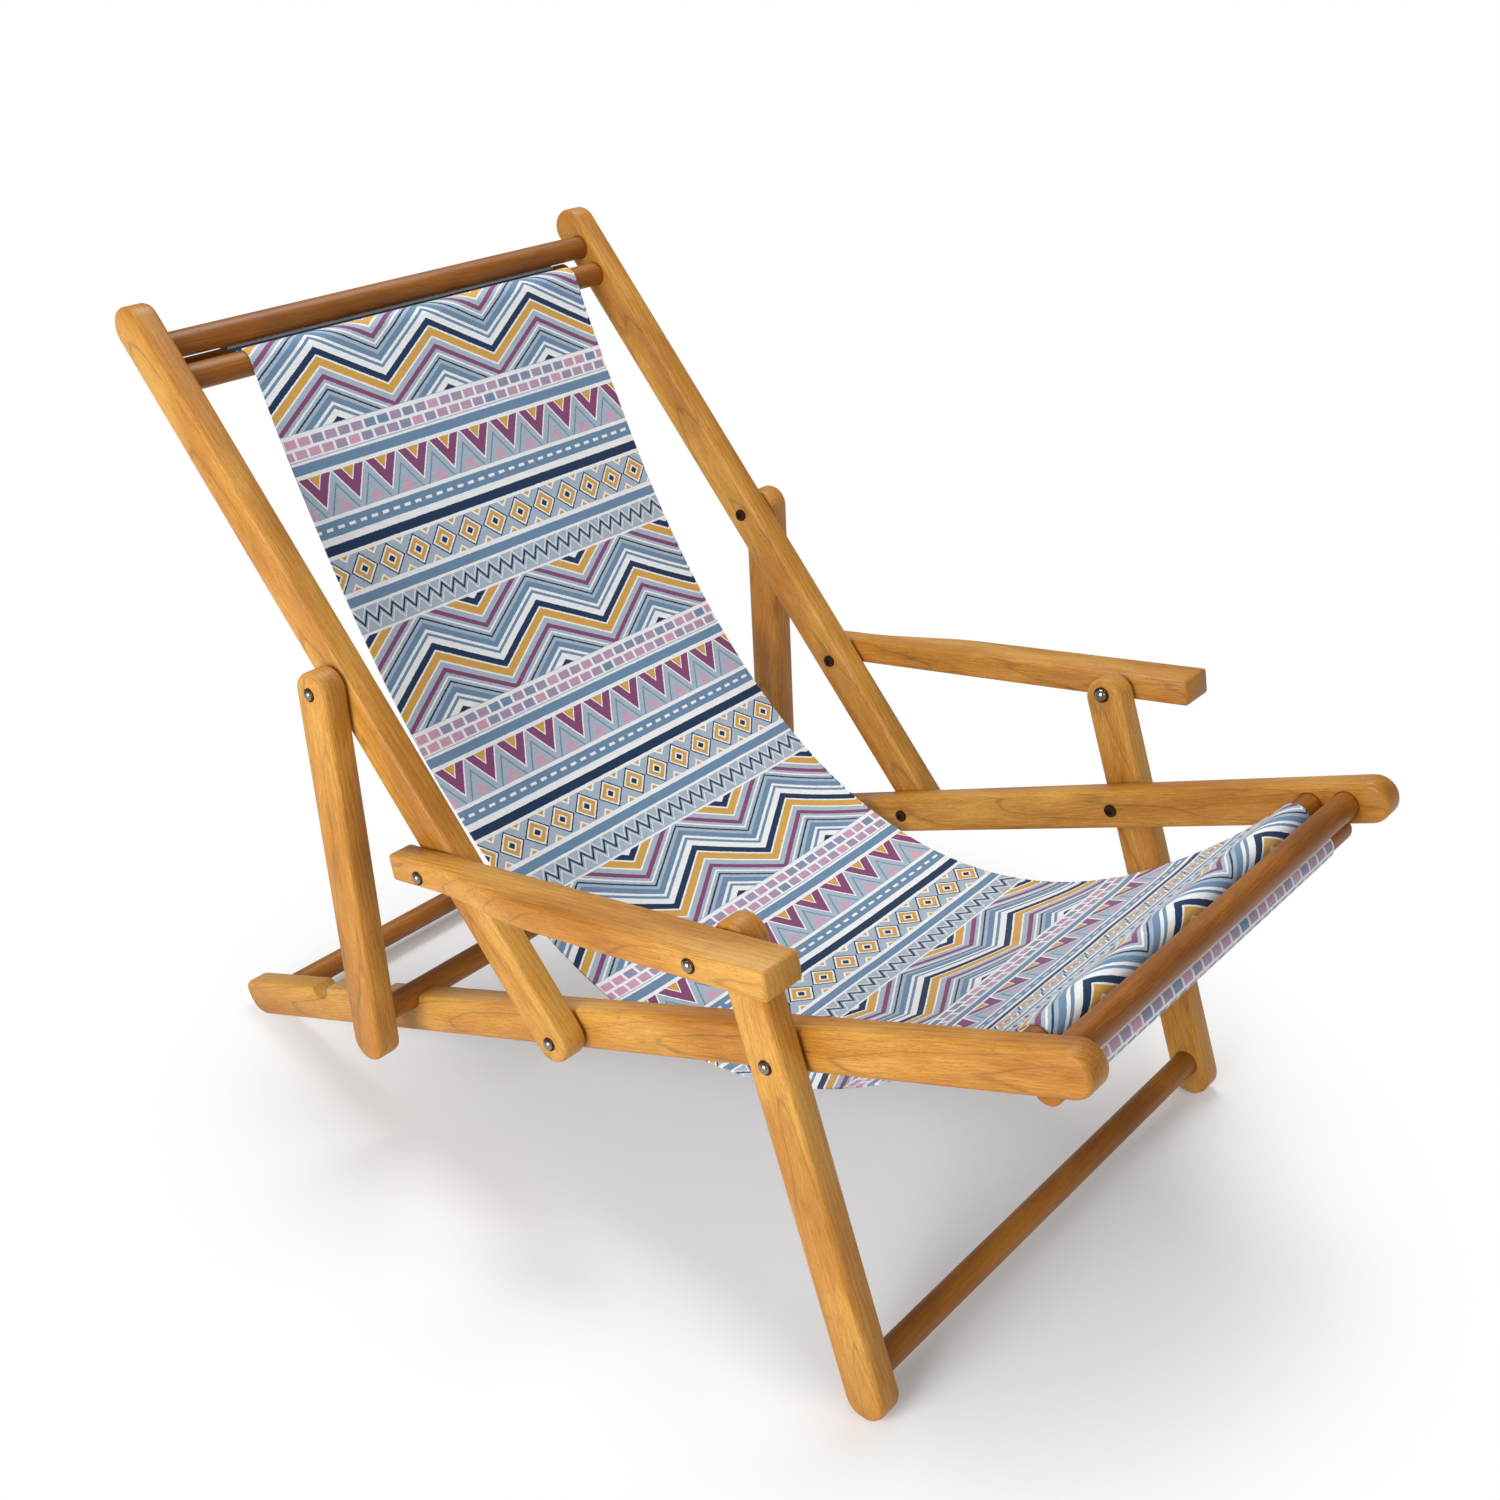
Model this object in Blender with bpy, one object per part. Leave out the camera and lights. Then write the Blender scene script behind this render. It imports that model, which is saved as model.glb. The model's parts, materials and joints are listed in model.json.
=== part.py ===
"""Folding deck chair: a varnished wooden frame with arms that carries a cloth sling.

Across the chair (X) the sticks lie in three layers on each side: the seat rails innermost, then
the back rails and the front legs, then the arms and the props. Seen from the side, the seat rail
(hinge to leg pivot), the back rail, the arm and the front leg form a four-bar linkage, which folds
flat because the two pairs of links are equally long. A bar between the props drops into notches in
the seat rails and sets how far the back leans.

Lengths are in metres, +Z is up, the chair faces -Y, and the sitter's right is -X.
"""
import math

import bmesh
import bpy
from mathutils import Vector

# Stock that the sticks and bars are cut from
STOCK_THICKNESS = 0.025
STOCK_WIDTH = 0.037
EDGE_ROUNDING = 0.004
BAR_DIAMETER = 0.0232
SOCKET_DEPTH = 0.013
LAYER_GAP = 0.0024
FIT_GAP = 0.0003

# Seat rails, measured along the rail from the back hinge
SEAT_INNER_WIDTH = 0.444
SEAT_FRONT_END = 0.5155
SEAT_REAR_END = 0.5205
SEAT_LEG_PIVOT = 0.2491
SEAT_REAR_BAR_INSET = 0.0380
SEAT_FRONT_BAR_INSET = 0.0375
REAR_END_TOP_ROUNDING = 0.010
REAR_END_FLOOR_ROUNDING = 0.022
BAR_PAIR_SPACING = 0.0325

# Notches in the seat rails for the prop bar
NOTCH_UPRIGHT = 0.2255
NOTCH_MIDDLE = 0.2888
NOTCH_RECLINED = 0.3790
NOTCH_DEPTH = 0.0125
NOTCH_CLEARANCE = 0.0011

# Back rails, measured along the rail from the back hinge
BACK_ANGLE = math.radians(69.10)
BACK_TOP_END = 0.7175
BACK_ARM_PIVOT = 0.1731
BACK_PROP_PIVOT = 0.3492
BACK_TOP_BAR_INSET = 0.0418

# Front legs, measured along the leg from its pivot on the seat rail
LEG_ARM_PIVOT = 0.1032
LEG_LENGTH = 0.3085
LEG_CROSS_BAR_INSET = 0.0352
LEG_TOP_MARGIN = 0.0137
FLOOR_FLAT_DEPTH = 0.0005
CUT_MERGE = 0.0015

# Props and arms
PROP_TAIL = 0.040
ARM_HEIGHT = 0.024
ARM_RISE = 0.003
ARM_DIP = 0.0040
ARM_REAR_OVERHANG = 0.035
ARM_FRONT_OVERHANG = 0.0705
ARM_REAR_WIDTH = 0.0252
ARM_FRONT_WIDTH = 0.0405
ARM_FLARE_START = 0.015
ARM_FLARE_LENGTH = 0.130
ARM_EDGE_ROUNDING = 0.003

# Sling and the loose bars in its hems
SLING_ROOM_RIGHT = 0.035
SLING_ROOM_LEFT = 0.011
SLING_THICKNESS = 0.0014
SLING_SLACK = 0.228
SLING_SKEW = 0.017
HEM_LAP_GAP = 0.0006
REAR_LOOSE_BAR_ROOM = 0.0036
REAR_LOOSE_BAR_END_GAP = 0.0174
FRONT_LOOSE_BAR_DROP = 0.0245
FRONT_LOOSE_BAR_REACH = 0.009
FRONT_LOOSE_BAR_SHIFT = 0.003

# Pivot hardware
BOLT_DIAMETER = 0.0055
BOLT_HOLE_CLEARANCE = 0.0003
BOLT_HEAD_DIAMETER = 0.0115
BOLT_HEAD_HEIGHT = 0.0042
ARM_BOLT_FLOAT = 0.0031
DOME_NUT_DIAMETER = 0.0145
DOME_NUT_BORE_DEPTH = 0.002
WASHER_DIAMETER = 0.018
NUT_DIAMETER = 0.012
NUT_CAP_HEIGHT = 0.0025
NUT_SLEEVE_DIAMETER = 0.0085
NUT_SLEEVE_LENGTH = 0.014
NUT_SOCKET_WIDTH = 0.004
NUT_SOCKET_DEPTH = 0.0015

# Facets of round shapes
BAR_SIDES = 20
BOLT_SIDES = 16
END_STEPS = 16
EDGE_STEPS = 2

# Values that follow from the sizes above
BAR_RADIUS = BAR_DIAMETER / 2
HALF_WIDTH = STOCK_WIDTH / 2
BOLT_RADIUS = BOLT_DIAMETER / 2
HOLE_RADIUS = BOLT_RADIUS + BOLT_HOLE_CLEARANCE
LAYER_STEP = STOCK_THICKNESS + LAYER_GAP
LAYER_1 = SEAT_INNER_WIDTH / 2
LAYER_2 = LAYER_1 + LAYER_STEP
LAYER_3 = LAYER_2 + LAYER_STEP
SEAT_REAR_BAR = SEAT_REAR_END - SEAT_REAR_BAR_INSET
SEAT_FRONT_BAR = SEAT_FRONT_END - SEAT_FRONT_BAR_INSET
SEAT_SLING_BAR = SEAT_FRONT_BAR - BAR_PAIR_SPACING
BACK_TOP_BAR = BACK_TOP_END - BACK_TOP_BAR_INSET
BACK_SLING_BAR = BACK_TOP_BAR - BAR_PAIR_SPACING
LEG_CROSS_BAR = LEG_LENGTH - LEG_CROSS_BAR_INSET
LEG_TOP_END = LEG_ARM_PIVOT + LEG_TOP_MARGIN
REAR_LOOSE_BAR_OFFSET = math.sqrt(
    (BAR_DIAMETER + REAR_LOOSE_BAR_ROOM) ** 2 - (BAR_PAIR_SPACING / 2) ** 2
)
NOTCH_RADIUS = BAR_RADIUS + NOTCH_CLEARANCE
NOTCH_CENTRE = HALF_WIDTH - NOTCH_DEPTH + NOTCH_RADIUS
PROP_BAR_RISE = NOTCH_CENTRE - NOTCH_CLEARANCE + FIT_GAP
SIDES = (("right", -1), ("left", 1))

WOOD = ("varnished_wood", (0.55, 0.27, 0.07, 1), 0.38, 0.0)
CLOTH = ("printed_canvas", (0.30, 0.38, 0.49, 1), 0.85, 0.0)
STEEL = ("bright_steel", (0.62, 0.62, 0.62, 1), 0.25, 1.0)
DARK_STEEL = ("dark_steel", (0.06, 0.05, 0.05, 1), 0.40, 1.0)


def along(angle, distance=1.0):
    """A step of the given length in the side view, at an angle from +Y towards +Z."""
    return Vector((math.cos(angle), math.sin(angle))) * distance


def angle_of(step):
    """The angle of a side-view step from +Y towards +Z."""
    return math.atan2(step.y, step.x)


def leg_angle(arm_length):
    """Where the leg points, in the seat rail's own frame, once the four-bar linkage closes."""
    leg_pivot = Vector((-SEAT_LEG_PIVOT, 0))
    reach = along(BACK_ANGLE, BACK_ARM_PIVOT) - leg_pivot
    cosine = (reach.length_squared + LEG_ARM_PIVOT**2 - arm_length**2) / (
        2 * reach.length * LEG_ARM_PIVOT
    )
    return angle_of(reach) + math.acos(cosine)


def floor_slope(foot_centre, foot_radius, rear_centre, rear_radius):
    """Slope, in the seat rail's frame, of the floor that touches the foot and the rail's rear end."""
    span = rear_centre - foot_centre
    return angle_of(span) - math.asin((rear_radius - foot_radius) / span.length)


# The linkage in the seat rail's own frame: the hinge at the origin, the rail along +Y to the rear
ARM_LENGTH = BACK_ARM_PIVOT + SEAT_LEG_PIVOT - LEG_ARM_PIVOT
LEG_ANGLE = leg_angle(ARM_LENGTH)
LEG_PIVOT = Vector((-SEAT_LEG_PIVOT, 0))
LEG_ARM_POINT = LEG_PIVOT + along(LEG_ANGLE, LEG_ARM_PIVOT)
BACK_ARM_POINT = along(BACK_ANGLE, BACK_ARM_PIVOT)
ARM_ANGLE = angle_of(LEG_ARM_POINT - BACK_ARM_POINT)
PROP_POINT = along(BACK_ANGLE, BACK_PROP_PIVOT)
PROP_BAR_POINT = Vector((NOTCH_UPRIGHT, PROP_BAR_RISE))
PROP_LENGTH = (PROP_BAR_POINT - PROP_POINT).length
PROP_ANGLE = angle_of(PROP_BAR_POINT - PROP_POINT)

# The floor touches the round foot of the leg and the round lower corner of the rail's rear end
FOOT_CENTRE = LEG_PIVOT - along(LEG_ANGLE, LEG_LENGTH - HALF_WIDTH)
REAR_CENTRE = Vector(
    (SEAT_REAR_END - REAR_END_FLOOR_ROUNDING, REAR_END_FLOOR_ROUNDING - HALF_WIDTH)
)
FLOOR_ANGLE = floor_slope(FOOT_CENTRE, HALF_WIDTH, REAR_CENTRE, REAR_END_FLOOR_ROUNDING)
FLOOR_UP = along(FLOOR_ANGLE + math.pi / 2)
FLOOR_LEVEL = FOOT_CENTRE.dot(FLOOR_UP) - HALF_WIDTH + FLOOR_FLAT_DEPTH


def clear_scene():
    for old in list(bpy.data.objects):
        bpy.data.objects.remove(old, do_unlink=True)


def material(finish):
    """The Principled material of a finish, made once and then shared."""
    name, colour, roughness, metallic = finish
    made = bpy.data.materials.get(name)
    if made is None:
        made = bpy.data.materials.new(name)
        made.use_nodes = True
        shader = made.node_tree.nodes["Principled BSDF"]
        shader.inputs["Base Color"].default_value = colour
        shader.inputs["Roughness"].default_value = roughness
        shader.inputs["Metallic"].default_value = metallic
    return made


def frame(name, parent=None, place=(0, 0), turn=0.0):
    """An empty on a hinge axis, turned about X, that carries the pieces moving with that hinge."""
    empty = bpy.data.objects.new(name, None)
    bpy.context.scene.collection.objects.link(empty)
    empty.parent = parent
    empty.location = (0, place[0], place[1])
    empty.rotation_euler = (turn, 0, 0)
    return empty


def add_object(name, shape, parent, finish, smooth_below=math.radians(35)):
    """Turns a finished bmesh into a named object that hangs on its frame."""
    bmesh.ops.recalc_face_normals(shape, faces=shape.faces[:])
    mesh = bpy.data.meshes.new(name)
    shape.to_mesh(mesh)
    shape.free()
    mesh.materials.append(material(finish))
    mesh.shade_smooth()
    mesh.set_sharp_from_angle(angle=smooth_below)
    piece = bpy.data.objects.new(name, mesh)
    bpy.context.scene.collection.objects.link(piece)
    piece.parent = parent
    return piece


def arc(centre, radius, start, end, steps):
    """Side-view points along an arc, from one angle to another."""
    angles = (start + (end - start) * step / steps for step in range(steps + 1))
    return [Vector(centre) + along(angle, radius) for angle in angles]


def stick_outline(start, end, start_rounding, end_rounding):
    """A stick's side view, anticlockwise, with a (lower, upper) corner rounding at each end."""
    low_start, high_start = start_rounding
    low_end, high_end = end_rounding
    corners = (
        (start + low_start, low_start - HALF_WIDTH, low_start, math.pi),
        (end - low_end, low_end - HALF_WIDTH, low_end, 1.5 * math.pi),
        (end - high_end, HALF_WIDTH - high_end, high_end, 0.0),
        (start + high_start, HALF_WIDTH - high_start, high_start, 0.5 * math.pi),
    )
    points = []
    for y, z, radius, turn in corners:
        points += arc((y, z), radius, turn, turn + math.pi / 2, END_STEPS // 2)
    return tidy_loop(points)


def tidy_loop(points, least=1e-6):
    """Drops points that repeat the one before them."""
    kept = [p for i, p in enumerate(points) if (p - points[i - 1]).length > least]
    return kept


def cut_below(points, up, level):
    """The part of a convex outline that lies above a sloping line, without slivers at the cut."""
    kept, ends = [], []
    for i, point in enumerate(points):
        last = points[i - 1]
        height = point.dot(up) - level
        height_last = last.dot(up) - level
        if height * height_last < 0:
            ends.append(last.lerp(point, height_last / (height_last - height)))
            kept.append(ends[-1])
        if height >= 0:
            kept.append(point)
    return [p for p in kept if all(p is end or (p - end).length > CUT_MERGE for end in ends)]


def add_prism(shape, outline, x_from, x_to):
    """Adds a side-view outline, pulled out across the chair, to a bmesh."""
    near = [shape.verts.new((x_from, p.x, p.y)) for p in outline]
    far = [shape.verts.new((x_to, p.x, p.y)) for p in outline]
    shape.faces.new(near)
    shape.faces.new(far[::-1])
    for i in range(len(outline)):
        shape.faces.new((near[i - 1], far[i - 1], far[i], near[i]))


def round_rims(shape, radius):
    """Rounds the two rims of a prism, where its flat faces meet its side."""
    rims = [
        edge
        for edge in shape.edges
        if any(abs(face.normal.x) > 0.99 for face in edge.link_faces)
        and any(abs(face.normal.x) < 0.01 for face in edge.link_faces)
    ]
    bmesh.ops.bevel(
        shape, geom=rims, offset=radius, segments=EDGE_STEPS, profile=0.5, affect="EDGES"
    )


def stick(name, parent, outline, x_from, x_to):
    """A flat wooden stick with rounded edges."""
    shape = bmesh.new()
    add_prism(shape, outline, x_from, x_to)
    bmesh.ops.recalc_face_normals(shape, faces=shape.faces[:])
    round_rims(shape, EDGE_ROUNDING)
    return add_object(name, shape, parent, WOOD)


def round_outline(y, z, radius, sides):
    """A circle in the side view."""
    return arc((y, z), radius, 0, 2 * math.pi * (sides - 1) / sides, sides - 1)


def notch_outline(place):
    """A notch in the top of the seat rail: a round bottom with straight walls above it."""
    bottom = arc((place, NOTCH_CENTRE), NOTCH_RADIUS, -math.pi, 0, END_STEPS)
    top = NOTCH_CENTRE + STOCK_WIDTH
    return bottom + [Vector((place + NOTCH_RADIUS, top)), Vector((place - NOTCH_RADIUS, top))]


def carve(piece, cuts):
    """Cuts prisms, each an (outline, x_from, x_to), out of a piece that hangs on the same frame."""
    shape = bmesh.new()
    for outline, x_from, x_to in cuts:
        add_prism(shape, outline, x_from, x_to)
    cutter = add_object(piece.name + "_cutter", shape, piece.parent, WOOD)
    cutter.hide_render = True
    cutter.display_type = "WIRE"
    boolean = piece.modifiers.new("carve", "BOOLEAN")
    boolean.operation = "DIFFERENCE"
    boolean.solver = "EXACT"
    boolean.object = cutter


def hole(y, radius=HOLE_RADIUS, z=0.0):
    """The outline of a bolt hole."""
    return round_outline(y, z, radius, BOLT_SIDES)


def socket(y, layer, side):
    """A blind socket for a bar's end, in the inner face of a stick."""
    inner = side * (layer - STOCK_THICKNESS)
    outer = side * (layer + SOCKET_DEPTH + FIT_GAP)
    return (round_outline(y, 0, BAR_RADIUS + FIT_GAP, BAR_SIDES), inner, outer)


def through(y, layer, side, radius=HOLE_RADIUS):
    """A bolt hole right through a stick."""
    margin = STOCK_THICKNESS / 2
    return (hole(y, radius), side * (layer - margin), side * (layer + STOCK_THICKNESS + margin))


def nut_hole(y, layer, side):
    """A wider bore from a stick's inner face for the sleeve of a nut."""
    depth = NUT_SLEEVE_LENGTH + FIT_GAP
    bore = NUT_SLEEVE_DIAMETER / 2 + FIT_GAP
    return (hole(y, bore), side * (layer - STOCK_THICKNESS / 2), side * (layer + depth))


def turned(name, parent, finish, profile, place, side, sides=BOLT_SIDES):
    """A round piece about an axis across the chair, from (distance outwards, radius) points."""
    shape = bmesh.new()
    y, z = place
    rings = []
    for x, radius in profile:
        if radius == 0:
            rings.append([shape.verts.new((side * x, y, z))])
        else:
            circle = round_outline(y, z, radius, sides)
            rings.append([shape.verts.new((side * x, p.x, p.y)) for p in circle])
    for ring, following in zip(rings, rings[1:] + rings[:1]):
        join_rings(shape, ring, following)
    return add_object(name, shape, parent, finish)


def join_rings(shape, ring, following):
    """Joins two rings of a turned piece, either of which may be a single point on the axis."""
    if len(ring) == 1 and len(following) == 1:
        return
    count = max(len(ring), len(following))
    for i in range(count):
        corners = []
        for loop, places in ((ring, (i - 1, i)), (following, (i, i - 1))):
            corners += [loop[0]] if len(loop) == 1 else [loop[k] for k in places]
        shape.faces.new(corners)


def bar(name, parent, place, half_length, middle=0.0):
    """A round wooden bar across the chair with eased ends."""
    ease = EDGE_ROUNDING / 4
    profile = (
        (middle - half_length, 0),
        (middle - half_length, BAR_RADIUS - ease),
        (middle - half_length + ease, BAR_RADIUS),
        (middle + half_length - ease, BAR_RADIUS),
        (middle + half_length, BAR_RADIUS - ease),
        (middle + half_length, 0),
    )
    return turned(name, parent, WOOD, profile, place, 1, BAR_SIDES)


def dome_profile(face, radius, height, outwards):
    """A domed head on a flat face, from its rim to its crown, as (distance outwards, radius) points."""
    rim = height * 0.3
    steps = 4
    points = [(face, radius)]
    for step in range(steps):
        swing = math.pi / 2 * step / steps
        points.append(
            (face + outwards * (rim + (height - rim) * math.sin(swing)), radius * math.cos(swing))
        )
    points.append((face + outwards * height, 0))
    return points


def bolt(name, parent, place, head_face, tip, side):
    """A dome-headed bolt: its head stands on an outer face and its shank reaches in to the tip."""
    seat = head_face + FIT_GAP
    profile = [(tip, 0), (tip, BOLT_RADIUS), (seat, BOLT_RADIUS)]
    profile += dome_profile(seat, BOLT_HEAD_DIAMETER / 2, BOLT_HEAD_HEIGHT, 1)
    return turned(name, parent, STEEL, profile, place, side)


def cap_nut(name, parent, place, face, side):
    """A cap nut: its sleeve goes into the stick round the bolt, its cap stands on the inner face."""
    bore = BOLT_RADIUS + BOLT_HOLE_CLEARANCE
    seat = face - FIT_GAP
    top = seat - NUT_CAP_HEIGHT
    ease = NUT_CAP_HEIGHT / 3
    profile = (
        (top, 0),
        (top, NUT_DIAMETER / 2 - ease),
        (top + ease, NUT_DIAMETER / 2),
        (seat, NUT_DIAMETER / 2),
        (seat, NUT_SLEEVE_DIAMETER / 2),
        (face + NUT_SLEEVE_LENGTH, NUT_SLEEVE_DIAMETER / 2),
        (face + NUT_SLEEVE_LENGTH, bore),
        (face + FIT_GAP, bore),
        (face + FIT_GAP, 0),
    )
    nut = turned(name, parent, DARK_STEEL, profile, place, side)
    key = arc(place, NUT_SOCKET_WIDTH / math.sqrt(3), 0, math.pi * 5 / 3, 5)
    carve(nut, [(key, side * (top - NUT_SOCKET_DEPTH), side * (top + NUT_SOCKET_DEPTH))])
    return nut


def dome_nut(name, parent, place, face, side):
    """A domed nut on an inner face, which takes the tip of a bolt that comes through the stick."""
    bore = BOLT_RADIUS + BOLT_HOLE_CLEARANCE
    seat = face - FIT_GAP
    bottom = seat - DOME_NUT_BORE_DEPTH
    profile = [(bottom, 0), (bottom, bore), (seat, bore)]
    profile += dome_profile(seat, DOME_NUT_DIAMETER / 2, BOLT_HEAD_HEIGHT, -1)
    return turned(name, parent, STEEL, profile, place, side)


def washer(name, parent, place, layer, side):
    """A flat washer that keeps two layers of sticks apart."""
    inner = BOLT_RADIUS + BOLT_HOLE_CLEARANCE
    outer = WASHER_DIAMETER / 2
    near = layer + STOCK_THICKNESS + FIT_GAP
    far = layer + LAYER_STEP - FIT_GAP
    profile = ((near, inner), (near, outer), (far, outer), (far, inner))
    return turned(name, parent, DARK_STEEL, profile, place, side)


def pivot(name, parent, place, layer, side):
    """A bolted pivot through two layers of sticks: bolt, cap nut and the washer between them."""
    outer_face = layer + LAYER_STEP + STOCK_THICKNESS
    tip = layer + 2 * FIT_GAP
    bolt(f"{name}_bolt", parent, place, outer_face, tip, side)
    cap_nut(f"{name}_nut", parent, place, layer, side)
    washer(f"{name}_washer", parent, place, layer, side)


def hem_bar_groove(side):
    """A blind groove in a seat rail's underside for one end of the loose front bar."""
    place = loose_bar_front_place()
    outline = round_outline(place.x, place.y, BAR_RADIUS + FIT_GAP, BAR_SIDES)
    end = LAYER_1 + FRONT_LOOSE_BAR_REACH + side * FRONT_LOOSE_BAR_SHIFT + FIT_GAP
    x_from, x_to = sorted((side * (LAYER_1 - STOCK_THICKNESS), side * end))
    return outline, x_from, x_to


def seat_rail(name, parent, side):
    """A seat rail: round at the front, with bar sockets, prop notches and a flat to stand on."""
    outline = stick_outline(
        -SEAT_FRONT_END,
        SEAT_REAR_END,
        (HALF_WIDTH, HALF_WIDTH),
        (REAR_END_FLOOR_ROUNDING, REAR_END_TOP_ROUNDING),
    )
    outline = cut_below(outline, FLOOR_UP, FLOOR_LEVEL)
    x_from, x_to = sorted((side * LAYER_1, side * (LAYER_1 + STOCK_THICKNESS)))
    rail = stick(name, parent, outline, x_from, x_to)
    margin = STOCK_THICKNESS / 2
    cuts = [socket(y, LAYER_1, side) for y in (SEAT_REAR_BAR, -SEAT_FRONT_BAR, -SEAT_SLING_BAR)]
    for place in (NOTCH_UPRIGHT, NOTCH_MIDDLE, NOTCH_RECLINED):
        cuts.append((notch_outline(place), x_from - margin, x_to + margin))
    cuts.append(hem_bar_groove(side))
    carve(rail, cuts)
    carve(rail, [through(y, LAYER_1, side) for y in (0.0, -SEAT_LEG_PIVOT)])
    carve(rail, [nut_hole(y, LAYER_1, side) for y in (0.0, -SEAT_LEG_PIVOT)])


def back_rail(name, parent, side):
    """A back rail, round at both ends, with sockets for the two top bars."""
    ends = (HALF_WIDTH, HALF_WIDTH)
    outline = stick_outline(-HALF_WIDTH, BACK_TOP_END, ends, ends)
    rail = stick(name, parent, outline, *sorted((side * LAYER_2, side * (LAYER_2 + STOCK_THICKNESS))))
    carve(rail, [socket(y, LAYER_2, side) for y in (BACK_TOP_BAR, BACK_SLING_BAR)])
    carve(rail, [through(y, LAYER_2, side) for y in (0.0, BACK_ARM_PIVOT, BACK_PROP_PIVOT)])
    carve(rail, [nut_hole(y, LAYER_2, side) for y in (BACK_ARM_PIVOT, BACK_PROP_PIVOT)])


def front_leg(name, parent, side):
    """A front leg: round ends, a flat to stand on, and a wide hole where the arm's bolt floats."""
    ends = (HALF_WIDTH, HALF_WIDTH)
    outline = stick_outline(-LEG_LENGTH, LEG_TOP_END, ends, ends)
    up = along(FLOOR_ANGLE + math.pi / 2 - LEG_ANGLE)
    outline = cut_below(outline, up, FLOOR_LEVEL - LEG_PIVOT.dot(FLOOR_UP))
    leg = stick(name, parent, outline, *sorted((side * LAYER_2, side * (LAYER_2 + STOCK_THICKNESS))))
    carve(leg, [socket(-LEG_CROSS_BAR, LAYER_2, side)])
    carve(leg, [through(0.0, LAYER_2, side)])
    carve(leg, [through(LEG_ARM_PIVOT, LAYER_2, side, HOLE_RADIUS + ARM_BOLT_FLOAT)])


def prop_leg(name, parent, side):
    """A prop leg that hangs from the back rail and carries the prop bar."""
    ends = (HALF_WIDTH, HALF_WIDTH)
    outline = stick_outline(-HALF_WIDTH, PROP_LENGTH + PROP_TAIL, ends, ends)
    leg = stick(name, parent, outline, *sorted((side * LAYER_3, side * (LAYER_3 + STOCK_THICKNESS))))
    carve(leg, [socket(PROP_LENGTH, LAYER_3, side)])
    carve(leg, [through(0.0, LAYER_3, side)])


def flare(distance):
    """Width of the arm at a distance in front of its rear pivot: narrow, an S-bend, then broad."""
    share = min(max((distance - ARM_FLARE_START) / ARM_FLARE_LENGTH, 0.0), 1.0)
    eased = share * share * (3 - 2 * share)
    return ARM_REAR_WIDTH + (ARM_FRONT_WIDTH - ARM_REAR_WIDTH) * eased


def dip(distance):
    """How far the board lies below the line through its pivots, which it meets at the rear one."""
    return ARM_DIP * distance / ARM_LENGTH


def arm(name, parent, side):
    """An arm: a board with a straight inner side that broadens outwards towards the front."""
    rear = -ARM_REAR_OVERHANG
    front = ARM_LENGTH + ARM_FRONT_OVERHANG
    bend = [ARM_FLARE_START + ARM_FLARE_LENGTH * step / END_STEPS for step in range(END_STEPS + 1)]
    outer = [(rear, flare(rear))] + [(s, flare(s)) for s in bend] + [(front, flare(front))]
    plan = [(rear, 0.0)] + outer + [(front, 0.0)]
    low = -ARM_RISE - ARM_HEIGHT / 2
    shape = bmesh.new()
    lower = [shape.verts.new((side * (LAYER_3 + w), s, low + dip(s))) for s, w in plan]
    upper = [shape.verts.new((side * (LAYER_3 + w), s, low + ARM_HEIGHT + dip(s))) for s, w in plan]
    shape.faces.new(lower)
    shape.faces.new(upper[::-1])
    for i in range(len(plan)):
        shape.faces.new((lower[i - 1], upper[i - 1], upper[i], lower[i]))
    bmesh.ops.recalc_face_normals(shape, faces=shape.faces[:])
    sharp = [edge for edge in shape.edges if edge.calc_face_angle() > math.radians(45)]
    bmesh.ops.bevel(
        shape, geom=sharp, offset=ARM_EDGE_ROUNDING, segments=EDGE_STEPS, profile=0.5, affect="EDGES"
    )
    board = add_object(name, shape, parent, WOOD)
    carve(board, [through(0.0, LAYER_3, side)])
    inside = LAYER_3 - STOCK_THICKNESS / 2
    outside = LAYER_3 + ARM_FRONT_WIDTH + STOCK_THICKNESS / 2
    carve(board, [(hole(ARM_LENGTH), side * inside, side * outside)])


def to_floor_frame(point):
    """A point of the seat rail's frame as (rearwards, upwards) from the hinge."""
    turned_by = -FLOOR_ANGLE
    return Vector(
        (
            point.x * math.cos(turned_by) - point.y * math.sin(turned_by),
            point.x * math.sin(turned_by) + point.y * math.cos(turned_by),
        )
    )


def catenary(front, rear, length, steps=26):
    """Points along a hanging cloth of the given length between two points."""
    span = rear - front
    level = math.sqrt(length**2 - span.y**2)
    small, large = span.x / 40, span.x * 40
    for _ in range(80):
        size = math.sqrt(small * large)
        if 2 * size * math.sinh(span.x / (2 * size)) > level:
            small = size
        else:
            large = size
    low = (front.x + rear.x) / 2 - size * math.asinh(
        span.y / (2 * size * math.sinh(span.x / (2 * size)))
    )
    base = front.y - size * math.cosh((front.x - low) / size)
    places = (front.x + span.x * step / steps for step in range(steps + 1))
    return [Vector((y, base + size * math.cosh((y - low) / size))) for y in places]


def tangent_between(centre_a, radius_a, centre_b, radius_b, lean):
    """Angles at which a straight cloth leaves one bar and meets the other, crossing between them."""
    span = centre_b - centre_a
    swing = math.acos((radius_a + radius_b) / span.length)
    leave = angle_of(span) + lean * swing
    return leave, leave + math.pi


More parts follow.
